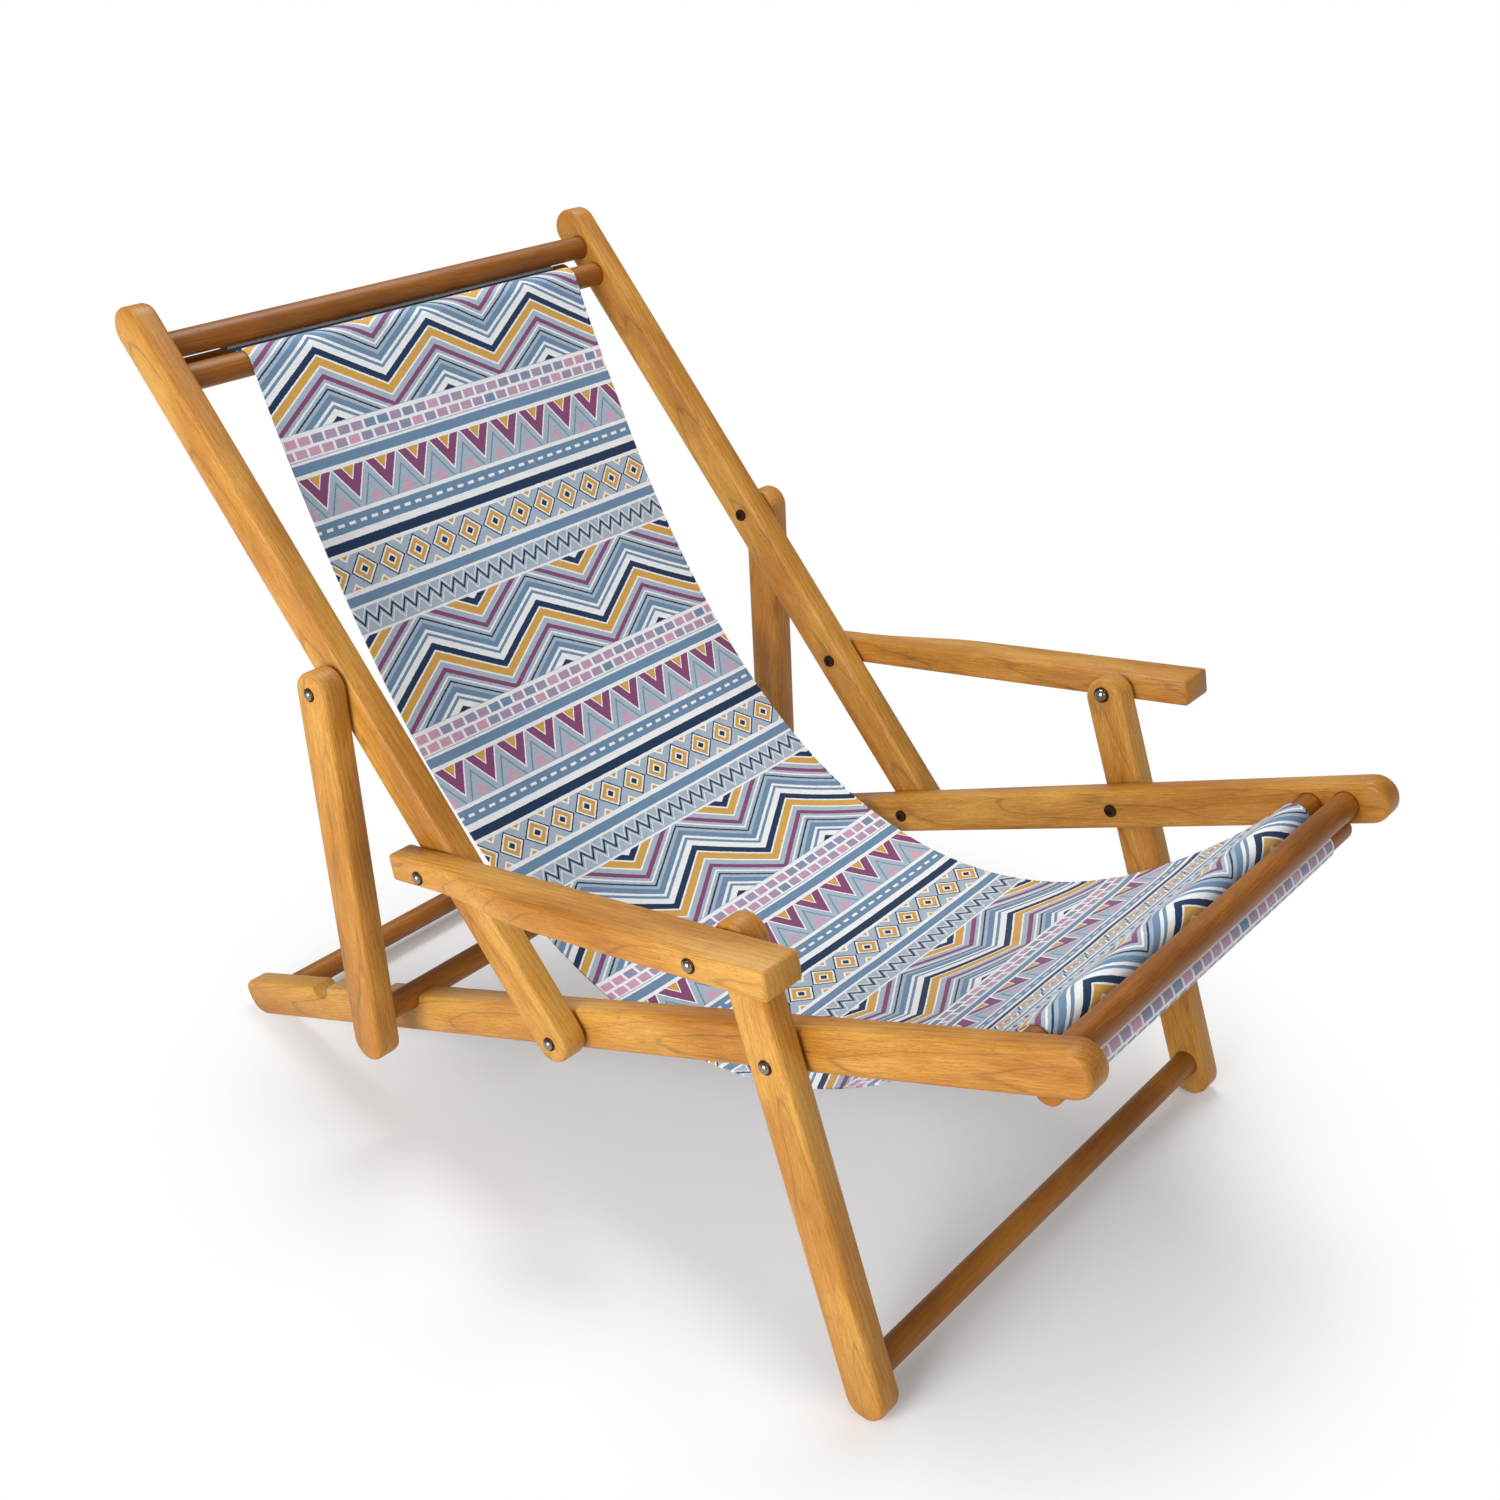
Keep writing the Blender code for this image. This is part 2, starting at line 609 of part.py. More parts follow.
def sling_path():
    """The sling's middle line in the side view, from the rear hem to the front hem.

    Each hem goes round a loose bar. The cloth comes out between a pair of fixed bars, over the
    inner one of the pair, and hangs freely from one pair to the other.
    """
    back = along(BACK_ANGLE)
    back_rear = along(BACK_ANGLE - math.pi / 2)
    rear_bar = to_floor_frame(back * BACK_SLING_BAR)
    rear_loose = to_floor_frame(loose_bar_rear_place(back, back_rear))
    front_bar = to_floor_frame(Vector((-SEAT_SLING_BAR, 0)))
    front_loose = to_floor_frame(loose_bar_front_place())
    lie = BAR_RADIUS + FIT_GAP + SLING_THICKNESS / 2
    hem = lie

    slack_length = (rear_bar - front_bar).length + SLING_SLACK
    front, rear = front_bar, rear_bar
    for _ in range(12):
        hang = catenary(front, rear, slack_length)
        front_slope = angle_of(hang[1] - hang[0])
        rear_slope = angle_of(hang[-1] - hang[-2])
        front = front_bar + along(front_slope + math.pi / 2, lie)
        rear = rear_bar + along(rear_slope + math.pi / 2, lie)
    hang = catenary(front, rear, slack_length)
    front_slope = angle_of(hang[1] - hang[0])
    rear_slope = angle_of(hang[-1] - hang[-2])

    rear_leave, rear_meet = tangent_between(rear_bar, lie, rear_loose, hem, 1)
    front_leave, front_meet = tangent_between(front_bar, lie, front_loose, hem, -1)
    lap = math.acos(1 - (SLING_THICKNESS + HEM_LAP_GAP) / hem)
    rear_wrap = arc(rear_bar, lie, rear_leave, nearest_turn(rear_slope + math.pi / 2, rear_leave), 7)
    front_wrap = arc(
        front_bar, lie, nearest_turn(front_slope + math.pi / 2, front_leave), front_leave, 7
    )
    rear_hem = arc(rear_loose, hem, rear_meet + 2 * math.pi - lap, rear_meet, 20)
    front_hem = arc(front_loose, hem, front_meet, front_meet + 2 * math.pi - lap, 20)
    return rear_hem + rear_wrap + hang[-2:0:-1] + front_wrap + front_hem


def nearest_turn(angle, reference):
    """The same direction as an angle, written within half a turn of a reference."""
    return reference + math.remainder(angle - reference, 2 * math.pi)


def loose_bar_rear_place(back, back_rear):
    """Where the loose bar lies behind the back's pair of bars, in the seat rail's frame."""
    return back * (BACK_SLING_BAR + BACK_TOP_BAR) / 2 + back_rear * REAR_LOOSE_BAR_OFFSET


def loose_bar_front_place():
    """Where the loose bar lies under the seat's pair of bars, in the seat rail's frame."""
    return Vector((-(SEAT_FRONT_BAR + SEAT_SLING_BAR) / 2, -FRONT_LOOSE_BAR_DROP))


def sling(name, parent):
    """The cloth: a thin strip along its path, a little askew, pulled out to the sling's width."""
    path = sling_path()
    length = sum((after - before).length for before, after in zip(path, path[1:]))
    upper, lower, shifts = [], [], []
    reached = 0.0
    for i, point in enumerate(path):
        ahead = path[min(i + 1, len(path) - 1)] - path[max(i - 1, 0)]
        normal = Vector((-ahead.y, ahead.x)).normalized() * SLING_THICKNESS / 2
        upper.append(point + normal)
        lower.append(point - normal)
        reached += (point - path[max(i - 1, 0)]).length
        shifts.append(SLING_SKEW * reached / length)
    shape = bmesh.new()
    rows = []
    for x in (SLING_ROOM_RIGHT - LAYER_1, LAYER_1 - SLING_ROOM_LEFT):
        rows.append(
            [
                [shape.verts.new((x - shift, p.x, p.y)) for p, shift in zip(upper, shifts)],
                [shape.verts.new((x - shift, p.x, p.y)) for p, shift in zip(lower, shifts)],
            ]
        )
    (near_up, near_low), (far_up, far_low) = rows
    for i in range(len(path) - 1):
        for a, b in ((near_up, far_up), (far_low, near_low), (far_up, far_low), (near_low, near_up)):
            shape.faces.new((a[i], a[i + 1], b[i + 1], b[i]))
    shape.faces.new((near_up[0], far_up[0], far_low[0], near_low[0]))
    shape.faces.new((near_up[-1], near_low[-1], far_low[-1], far_up[-1]))
    return add_object(name, shape, parent, CLOTH)


def build_seat(parent):
    """The seat rails with their bars and the loose bar in the front hem."""
    for label, side in SIDES:
        seat_rail(f"seat_rail_{label}", parent, side)
        pivot(f"back_hinge_{label}", parent, (0, 0), LAYER_1, side)
        pivot(f"leg_pivot_{label}", parent, LEG_PIVOT, LAYER_1, side)
    reach = LAYER_1 + SOCKET_DEPTH
    bar("seat_rear_bar", parent, (SEAT_REAR_BAR, 0), reach)
    bar("seat_front_bar", parent, (-SEAT_FRONT_BAR, 0), reach)
    bar("seat_sling_bar", parent, (-SEAT_SLING_BAR, 0), reach)
    half_length = LAYER_1 + FRONT_LOOSE_BAR_REACH
    bar("front_hem_bar", parent, loose_bar_front_place(), half_length, FRONT_LOOSE_BAR_SHIFT)


def build_back(parent):
    """The back rails with their two bars and the loose bar in the rear hem."""
    for label, side in SIDES:
        back_rail(f"back_rail_{label}", parent, side)
        pivot(f"arm_pivot_{label}", parent, (BACK_ARM_PIVOT, 0), LAYER_2, side)
        pivot(f"prop_pivot_{label}", parent, (BACK_PROP_PIVOT, 0), LAYER_2, side)
    reach = LAYER_2 + SOCKET_DEPTH
    bar("back_top_bar", parent, (BACK_TOP_BAR, 0), reach)
    bar("back_sling_bar", parent, (BACK_SLING_BAR, 0), reach)
    hem_place = ((BACK_SLING_BAR + BACK_TOP_BAR) / 2, -REAR_LOOSE_BAR_OFFSET)
    bar("rear_hem_bar", parent, hem_place, LAYER_2 - REAR_LOOSE_BAR_END_GAP)


def build_legs(parent):
    """The two front legs and the bar between them."""
    for label, side in SIDES:
        front_leg(f"front_leg_{label}", parent, side)
    bar("leg_cross_bar", parent, (-LEG_CROSS_BAR, 0), LAYER_2 + SOCKET_DEPTH)


def build_prop(parent):
    """The two prop legs and the bar that drops into the notches."""
    for label, side in SIDES:
        prop_leg(f"prop_leg_{label}", parent, side)
    bar("prop_bar", parent, (PROP_LENGTH, 0), LAYER_3 + SOCKET_DEPTH)


def build_arms(parent):
    """The arms, each with the bolt, domed nut and washer that hold the leg's top."""
    for label, side in SIDES:
        arm(f"arm_{label}", parent, side)
        place = (ARM_LENGTH, 0)
        tip = LAYER_2 - FIT_GAP - DOME_NUT_BORE_DEPTH + 2 * FIT_GAP
        bolt(f"leg_top_{label}_bolt", parent, place, LAYER_3 + flare(ARM_LENGTH), tip, side)
        dome_nut(f"leg_top_{label}_nut", parent, place, LAYER_2, side)
        washer(f"leg_top_{label}_washer", parent, place, LAYER_2, side)


def stand_on_floor(root):
    """Puts the origin under the middle of the chair's box, on the floor."""
    bpy.context.view_layer.update()
    corners = [
        piece.matrix_world @ vertex.co
        for piece in bpy.data.objects
        if piece.type == "MESH" and not piece.hide_render
        for vertex in piece.data.vertices
    ]
    middle = [(min(c[i] for c in corners) + max(c[i] for c in corners)) / 2 for i in range(2)]
    root.location = (-middle[0], -middle[1], -min(c.z for c in corners))
    bpy.context.view_layer.update()


def main():
    clear_scene()
    root = frame("chair")
    seat = frame("seat_frame", root, turn=-FLOOR_ANGLE)
    back = frame("back_hinge", seat, turn=BACK_ANGLE)
    legs = frame("leg_pivot", seat, LEG_PIVOT, LEG_ANGLE)
    props = frame("prop_pivot", back, (BACK_PROP_PIVOT, 0), PROP_ANGLE - BACK_ANGLE)
    arms = frame("arm_pivot", back, (BACK_ARM_PIVOT, 0), ARM_ANGLE - BACK_ANGLE)
    build_seat(seat)
    build_back(back)
    build_legs(legs)
    build_prop(props)
    build_arms(arms)
    sling("sling", root)
    stand_on_floor(root)
    for hinge in (seat, back, legs, props, arms):
        spot = hinge.matrix_world.translation
        print(f"{hinge.name} axis at y {spot.y:.5f} z {spot.z:.5f}")


main()
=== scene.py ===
# %% [markdown]
# # A folding deck chair
# This lesson dresses a folding deck chair: a lacquered wooden frame with arms, and a loose sling of
# printed canvas. The measured frame is loaded first. It already has every stick, bar, bolt and pivot in
# its place, so the lesson is about surfaces: rounded wood with grain that runs along each stick, bright
# bolt heads, and a cloth that hangs from two bars.

import json
import math

import bmesh
import bpy
from mathutils import Matrix, Vector, noise

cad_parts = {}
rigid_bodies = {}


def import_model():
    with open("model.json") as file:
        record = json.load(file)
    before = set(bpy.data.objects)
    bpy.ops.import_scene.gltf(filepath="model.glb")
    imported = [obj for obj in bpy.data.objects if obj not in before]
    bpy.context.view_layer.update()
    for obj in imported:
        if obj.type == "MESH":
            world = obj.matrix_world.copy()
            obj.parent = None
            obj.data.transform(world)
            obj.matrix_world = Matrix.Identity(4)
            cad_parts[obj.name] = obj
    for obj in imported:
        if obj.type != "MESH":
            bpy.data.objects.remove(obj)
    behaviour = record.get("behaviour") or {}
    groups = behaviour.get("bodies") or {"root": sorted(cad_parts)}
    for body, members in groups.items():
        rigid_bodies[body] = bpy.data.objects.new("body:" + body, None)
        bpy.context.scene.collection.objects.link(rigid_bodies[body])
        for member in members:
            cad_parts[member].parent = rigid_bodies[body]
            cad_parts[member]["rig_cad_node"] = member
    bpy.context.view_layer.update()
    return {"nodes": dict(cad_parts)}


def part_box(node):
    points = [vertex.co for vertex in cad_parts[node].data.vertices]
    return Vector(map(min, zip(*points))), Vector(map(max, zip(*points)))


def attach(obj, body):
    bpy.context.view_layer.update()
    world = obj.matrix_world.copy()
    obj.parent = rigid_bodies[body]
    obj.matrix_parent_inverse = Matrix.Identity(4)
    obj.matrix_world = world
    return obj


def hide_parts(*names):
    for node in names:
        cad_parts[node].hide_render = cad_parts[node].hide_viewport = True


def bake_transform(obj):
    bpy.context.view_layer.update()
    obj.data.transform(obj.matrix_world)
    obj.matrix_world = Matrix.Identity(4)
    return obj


for leftover in list(bpy.data.objects):
    bpy.data.objects.remove(leftover)
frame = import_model()
print("solids in the frame:", len(frame["nodes"]))

# %% [markdown]
# ## Colours and nodes
# Colours are written as the hex values that a paint program shows. Blender calculates with linear light,
# so one function turns a hex value into a linear colour. Another adds any shader or geometry node: it
# takes the node's settings, and for each input a value, another node's output, or just the other node,
# which stands for its first output. The rest are a ramp's stops, a noise that is drawn out one way, an
# empty material and an object. Most values of a noise lie in NOISE_SPAN, so other ranges start from it.

# %% Helpers
NOISE_SPAN = {"From Min": 0.3, "From Max": 0.7}


def linear(hex_colour):
    """A hex colour such as #C08040 as linear red, green, blue and alpha."""
    parts = [int(hex_colour[i : i + 2], 16) / 255 for i in (1, 3, 5)]
    return [p / 12.92 if p <= 0.04045 else ((p + 0.055) / 1.055) ** 2.4 for p in parts] + [1.0]


def feed(node, inputs):
    """Gives each input, by name or number, a value, an output or the first output of a node."""
    for socket, value in inputs.items():
        if isinstance(value, bpy.types.Node):
            value = value.outputs[0]
        if isinstance(value, bpy.types.NodeSocket):
            node.id_data.links.new(value, node.inputs[socket])
        else:
            node.inputs[socket].default_value = value


def add(tree, kind, inputs=None, **settings):
    """Adds a node with its settings, and feeds its inputs."""
    made = tree.nodes.new(kind)
    for name, value in settings.items():
        setattr(made, name, value)
    feed(made, inputs or {})
    return made


def set_stops(ramp, stops, step_like=False):
    """Gives a colour ramp its (position, hex colour) stops, blended or in steps."""
    ramp.color_ramp.interpolation = "CONSTANT" if step_like else "LINEAR"
    elements = ramp.color_ramp.elements
    while len(elements) > 1:
        elements.remove(elements[-1])
    elements[0].position = stops[0][0]
    elements[0].color = linear(stops[0][1])
    for position, colour in stops[1:]:
        elements.new(position).color = linear(colour)


def stretched_noise(tree, place, stretch, detail):
    """Noise whose grains are drawn out by another scale on each axis."""
    scaled = add(tree, "ShaderNodeVectorMath", {0: place, 1: stretch}, operation="MULTIPLY")
    return add(tree, "ShaderNodeTexNoise", {"Vector": scaled, "Scale": 1.0, "Detail": detail})


def new_material(name):
    """An empty node material with its output, as (material, tree, shader)."""
    made = bpy.data.materials.new(name)
    made.use_nodes = True
    made.node_tree.nodes.clear()
    shader = add(made.node_tree, "ShaderNodeBsdfPrincipled")
    add(made.node_tree, "ShaderNodeOutputMaterial", {"Surface": shader})
    return made, made.node_tree, shader


def new_object(name, data):
    """An object in the scene for a mesh, a lamp or a camera."""
    made = bpy.data.objects.new(name, data)
    bpy.context.collection.objects.link(made)
    return made


print("honey as linear light:", [round(c, 3) for c in linear("#D9A55C")[:3]])

# %% [markdown]
# ## The camera
# The photograph was taken from the front right corner, a little above the chair. The place and the lens
# were solved from the known lengths of the sticks, so the camera is written down as numbers here. A
# camera looks along its own minus Z, so its rotation is built from its azimuth and elevation.

# %% Camera
CAMERA_PLACE = Vector((-1.1030, -0.91916, 1.11921))
CAMERA_AZIMUTH = math.radians(-49.90)
CAMERA_ELEVATION = math.radians(27.76)
CAMERA_ROLL = math.radians(-0.07)
LENS_MM = 43.76

camera_data = bpy.data.cameras.new("camera")
camera_data.lens = LENS_MM
camera_data.sensor_width = 36.0
camera = new_object("camera", camera_data)
camera.matrix_world = (
    Matrix.Translation(CAMERA_PLACE)
    @ Matrix.Rotation(CAMERA_AZIMUTH, 4, "Z")
    @ Matrix.Rotation(math.pi / 2 - CAMERA_ELEVATION, 4, "X")
    @ Matrix.Rotation(CAMERA_ROLL, 4, "Z")
)
bpy.context.scene.camera = camera
print("camera stands", round(CAMERA_PLACE.length, 3), "m from the chair's foot point")

# %% [markdown]
# ## Floor, world and lamps
# The photograph is a studio shot on white. A large soft lamp on the left lights the outer faces of the
# near side, two weaker ones stand above and in front, and the world adds an even grey light. The floor
# and the world look white to the camera, while the floor still catches the chair's shadow.

# %% Stage
FLOOR_SIZE = 60.0
KEY_PLACE = Vector((-2.4, -0.1, 1.15))
KEY_SIZE = 1.4
KEY_WATTS = 60.0
TOP_PLACE = Vector((0.75, 0.65, 2.5))
TOP_SIZE = 1.1
TOP_WATTS = 38.0
FILL_PLACE = Vector((-0.3, -2.4, 1.6))
FILL_SIZE = 1.6
FILL_WATTS = 11.0
WORLD_GREY = 0.30
WHITE = (1, 1, 1, 1)
AIM = Vector((0.0, 0.0, 0.35))


def soft_lamp(name, place, size, watts):
    """A square area lamp that looks at the chair."""
    data = bpy.data.lights.new(name, "AREA")
    data.shape = "SQUARE"
    data.size = size
    data.energy = watts
    lamp = new_object(name, data)
    turn = (AIM - place).to_track_quat("-Z", "Y")
    lamp.matrix_world = Matrix.Translation(place) @ turn.to_matrix().to_4x4()


soft_lamp("key_lamp", KEY_PLACE, KEY_SIZE, KEY_WATTS)
soft_lamp("top_lamp", TOP_PLACE, TOP_SIZE, TOP_WATTS)
soft_lamp("fill_lamp", FILL_PLACE, FILL_SIZE, FILL_WATTS)

world = bpy.data.worlds.new("studio")
bpy.context.scene.world = world
world.use_nodes = True
tree = world.node_tree
tree.nodes.clear()
path = add(tree, "ShaderNodeLightPath")
seen = add(
    tree,
    "ShaderNodeMath",
    {0: path.outputs["Is Camera Ray"], 1: path.outputs["Is Transmission Ray"]},
    operation="MAXIMUM",
)
white_sky = add(tree, "ShaderNodeBackground", {"Color": WHITE, "Strength": 1.0})
grey_sky = add(tree, "ShaderNodeBackground", {"Color": WHITE, "Strength": WORLD_GREY})
sky = add(tree, "ShaderNodeMixShader", {0: seen, 1: grey_sky, 2: white_sky})
add(tree, "ShaderNodeOutputWorld", {"Surface": sky})

floor_mesh = bpy.data.meshes.new("paper_floor")
half = FLOOR_SIZE / 2
floor_mesh.from_pydata(
    [(-half, -half, 0), (half, -half, 0), (half, half, 0), (-half, half, 0)], [], [(0, 1, 2, 3)]
)
floor = new_object("paper_floor", floor_mesh)
bpy.context.scene.view_settings.view_transform = "Standard"

# %% [markdown]
# A white paper floor reflects about as much light as it gets, but under soft lamps it would still come
# out grey. The paper's shader is therefore mixed with plain white light that only the camera and
# reflections see. Near the chair the mix is mostly paper, so that the shadow shows. Further out it
# becomes plain white, so that the floor runs into the white background without an edge.

# %% Paper floor
PAPER_OVAL = (0.44, 0.56, 1.0)
PAPER_EDGE = 0.72
WHITE_EDGE = 1.25
WHITE_NEAR_CHAIR = 0.04

paper, tree, shader = new_material("white_paper")
feed(shader, {"Base Color": linear("#F4F4F4"), "Roughness": 0.9, "Specular IOR Level": 0.1})
rays = add(tree, "ShaderNodeLightPath")
glow = add(tree, "ShaderNodeEmission", {"Color": WHITE, "Strength": 1.0})
spot = add(tree, "ShaderNodeTexCoord")
oval = add(tree, "ShaderNodeVectorMath", {0: spot.outputs["Object"], 1: PAPER_OVAL}, operation="DIVIDE")
distance = add(tree, "ShaderNodeVectorMath", {0: oval}, operation="LENGTH")
whiteness = add(
    tree,
    "ShaderNodeMapRange",
    {
        "Value": distance.outputs["Value"],
        "From Min": PAPER_EDGE,
        "From Max": WHITE_EDGE,
        "To Min": WHITE_NEAR_CHAIR,
        "To Max": 1.0,
    },
    interpolation_type="SMOOTHSTEP",
)
direct = add(
    tree,
    "ShaderNodeMath",
    {0: rays.outputs["Is Camera Ray"], 1: rays.outputs["Is Glossy Ray"]},
    operation="MAXIMUM",
)
share = add(tree, "ShaderNodeMath", {0: direct, 1: whiteness}, operation="MULTIPLY")
mixed = add(tree, "ShaderNodeMixShader", {0: share, 1: shader, 2: glow})
feed(tree.nodes["Material Output"], {"Surface": mixed})
floor_mesh.materials.append(paper)
print("floor material:", paper.name)

# %% [markdown]
# ## Lacquered wood
# The frame is a pale hardwood under honey-coloured satin lacquer. Flat-sawn sticks show long arched
# lines, because the saw crosses the tree's rings at a low angle. The shader does the same: it measures
# the distance from a tilted tree centre and draws one line per ring. It reads an attribute named grain,
# which holds each point's place along, across and into its own stick, so that one material runs the
# right way on every stick.

# %% Wood material
RING_SPACING = 0.0050
RING_WANDER = 0.0085
FIBRE_LENGTH = 0.030
FIBRE_WIDTH = 0.0009
PORE_LENGTH = 0.006
PORE_WIDTH = 0.0005
FIBRE_SHARE = 0.62
PORE_SHARE = 0.6
PORE_START = 0.60
PORE_FULL = 0.72
PORE_COLOUR = "#6E3D0C"
PORE_RELIEF = -0.6
GRAIN_RELIEF = 0.00025
WANDER_SCALE = (5.0, 30.0, 30.0)
BLOTCH_SCALE = (6.0, 22.0, 22.0)
SMOOTHEST = 0.42
ROUGHEST = 0.56


def lacquered_wood(name, pale, middle, dark, ring_strength):
    """Lacquered hardwood: ring lines, fibres and fine pores under a satin coat."""
    made, tree, shader = new_material(name)
    grain = add(tree, "ShaderNodeAttribute", attribute_name="grain").outputs["Vector"]
    wander = stretched_noise(tree, grain, WANDER_SCALE, 2.0)
    fibre = stretched_noise(tree, grain, (1 / FIBRE_LENGTH, 1 / FIBRE_WIDTH, 1 / FIBRE_WIDTH), 3.0)
    blotch = stretched_noise(tree, grain, BLOTCH_SCALE, 3.0)
    pores = stretched_noise(tree, grain, (1 / PORE_LENGTH, 1 / PORE_WIDTH, 1 / PORE_WIDTH), 1.0)
    parts = add(tree, "ShaderNodeSeparateXYZ", {0: grain})
    slice_place = add(tree, "ShaderNodeCombineXYZ", {"Y": parts.outputs["Y"], "Z": parts.outputs["Z"]})
    radius = add(tree, "ShaderNodeVectorMath", {0: slice_place}, operation="LENGTH")
    bent = add(
        tree,
        "ShaderNodeMath",
        {0: wander, 1: RING_WANDER, 2: radius.outputs["Value"]},
        operation="MULTIPLY_ADD",
    )
    rings = add(tree, "ShaderNodeMath", {0: bent, 1: RING_SPACING}, operation="DIVIDE")
    ring = add(tree, "ShaderNodeMath", {0: rings}, operation="FRACT")
    ring_tone = add(tree, "ShaderNodeValToRGB", {0: ring})
    set_stops(
        ring_tone,
        [(0.0, "#E8E8E8"), (0.30, "#FFFFFF"), (0.90, "#F0F0F0"), (0.96, "#707070"), (1.0, "#D8D8D8")],
    )
    tone = add(tree, "ShaderNodeMath", {0: fibre, 1: FIBRE_SHARE, 2: blotch}, operation="MULTIPLY_ADD")
    body = add(tree, "ShaderNodeValToRGB", {0: tone})
    set_stops(body, [(0.56, dark), (0.80, middle), (1.0, pale)])
    lined = add(
        tree,
        "ShaderNodeMix",
        {0: ring_strength, 6: body, 7: ring_tone},
        data_type="RGBA",
        blend_type="MULTIPLY",
    )
    pore_depth = add(
        tree, "ShaderNodeMapRange", {"Value": pores, "From Min": PORE_START, "From Max": PORE_FULL}
    )
    pore_share = add(tree, "ShaderNodeMath", {0: pore_depth, 1: PORE_SHARE}, operation="MULTIPLY")
    flecked = add(
        tree,
        "ShaderNodeMix",
        {0: pore_share, 6: lined.outputs[2], 7: linear(PORE_COLOUR)},
        data_type="RGBA",
    )
    rough = add(
        tree,
        "ShaderNodeMapRange",
        {"Value": fibre, **NOISE_SPAN, "To Min": SMOOTHEST, "To Max": ROUGHEST},
    )
    relief = add(
        tree, "ShaderNodeMath", {0: pore_depth, 1: PORE_RELIEF, 2: fibre}, operation="MULTIPLY_ADD"
    )
    bump = add(tree, "ShaderNodeBump", {"Height": relief, "Strength": 0.25, "Distance": GRAIN_RELIEF})
    feed(shader, {"Base Color": flecked.outputs[2], "Normal": bump})
    feed(shader, {"Roughness": rough, "IOR": 1.5, "Specular IOR Level": 0.32})
    feed(shader, {"Coat Weight": 0.05, "Coat Roughness": 0.28})
    return made


stick_wood = lacquered_wood("lacquered_hardwood", "#CC9845", "#B77C2D", "#9B5F14", 0.42)
bar_wood = lacquered_wood("lacquered_dowel", "#A8691C", "#8F5410", "#743F06", 0.22)
print("wood rings are", RING_SPACING * 1000, "mm apart")

# %% [markdown]
# ## Sticks and bars
# The frame's own solids have the right shapes, but they are loose triangles with crisp facets. A copy of
# each is merged, its flat faces are joined again, and a small Bevel takes the sharpness off the cut
# edges, as sanding and lacquer do. Last, each point gets its place in its stick as the grain attribute,
# with a plank of its own, so that no two sticks show the same lines.

# %% Finish for a stick
SANDED_EDGE = 0.0007
SANDED_ABOVE = math.radians(48)
STICK_SHARP_ANGLE = math.radians(40)
FLAT_WITHIN = math.radians(0.5)
MERGE_DISTANCE = 1e-6
GRAIN_TILT = 0.035
PLANK_STEP = 0.37
TREE_SWAY = 0.012
TREE_DEPTH = 0.045
TREE_DEPTH_STEP = 0.009


def finished_copy(node, name):
    """A merged, softly edged copy of a frame solid as a new mesh."""
    source = next(o for o in bpy.data.objects if o.get("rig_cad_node") == node)
    shape = bmesh.new()
    shape.from_mesh(source.data)
    bmesh.ops.remove_doubles(shape, verts=shape.verts, dist=MERGE_DISTANCE)
    bmesh.ops.dissolve_limit(shape, angle_limit=FLAT_WITHIN, verts=shape.verts, edges=shape.edges)
    draft = bpy.data.meshes.new(name + "_draft")
    shape.to_mesh(draft)
    shape.free()
    holder = new_object(name, draft)
    soften = holder.modifiers.new("sanded_edge", "BEVEL")
    soften.width = SANDED_EDGE
    soften.segments = 2
    soften.limit_method = "ANGLE"
    soften.angle_limit = SANDED_ABOVE
    soften.use_clamp_overlap = True
    smooth_below(bake(holder), STICK_SHARP_ANGLE)
    return holder


def bake(holder):
    """Replaces an object's mesh by its evaluated one, and drops its modifiers."""
    evaluated = holder.evaluated_get(bpy.context.evaluated_depsgraph_get())
    mesh = bpy.data.meshes.new_from_object(evaluated)
    holder.modifiers.clear()
    old = holder.data
    holder.data = mesh
    bpy.data.meshes.remove(old)
    mesh.name = holder.name
    return mesh


def smooth_below(mesh, angle):
    """Shades a mesh smooth, with its edges above an angle kept sharp."""
    mesh.shade_smooth()
    mesh.set_sharp_from_angle(angle=angle)


def give_grain(piece, direction, plank):
    """Stores each point's place along, across and into the stick, in a plank of its own."""
    points = [v.co for v in piece.data.vertices]
    middle = sum(points, Vector()) / len(points)
    long_way = Vector(direction).normalized()
    depth_way = Vector((1, 0, 0)) if abs(long_way.x) < 0.5 else Vector((0, 0, 1))
    across_way = depth_way.cross(long_way)
    side = 1 if plank % 2 else -1
    depth = TREE_DEPTH + TREE_DEPTH_STEP * (plank % 4)
    tree_offset = Vector((plank * PLANK_STEP, TREE_SWAY * math.sin(plank * 2.4), side * depth))
    values = []
    for point in points:
        step = point - middle
        along = step.dot(long_way)
        place = Vector((along, step.dot(across_way), step.dot(depth_way) + GRAIN_TILT * side * along))
        values.extend(place + tree_offset)
    stored = piece.data.attributes.new("grain", "FLOAT_VECTOR", "POINT")
    stored.data.foreach_set("vector", values)


def dress_wood(node, body, direction, wood, plank):
    """A finished wooden piece that stands for one frame solid."""
    piece = finished_copy(node, node + "_finished")
    give_grain(piece, direction, plank)
    piece.data.materials.clear()
    piece.data.materials.append(wood)
    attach(piece, body)
    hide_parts(node)
    return piece


def centre_of(node):
    """The middle of a frame solid's box."""
    low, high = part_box(node)
    return (Vector(low) + Vector(high)) / 2


print("edges are softened by", SANDED_EDGE * 1000, "mm")

# %% [markdown]
# Each stick's direction comes from two solids that it carries, such as the two bars at the ends of the
# seat rails. That way the grain follows the frame, whatever its angles are.

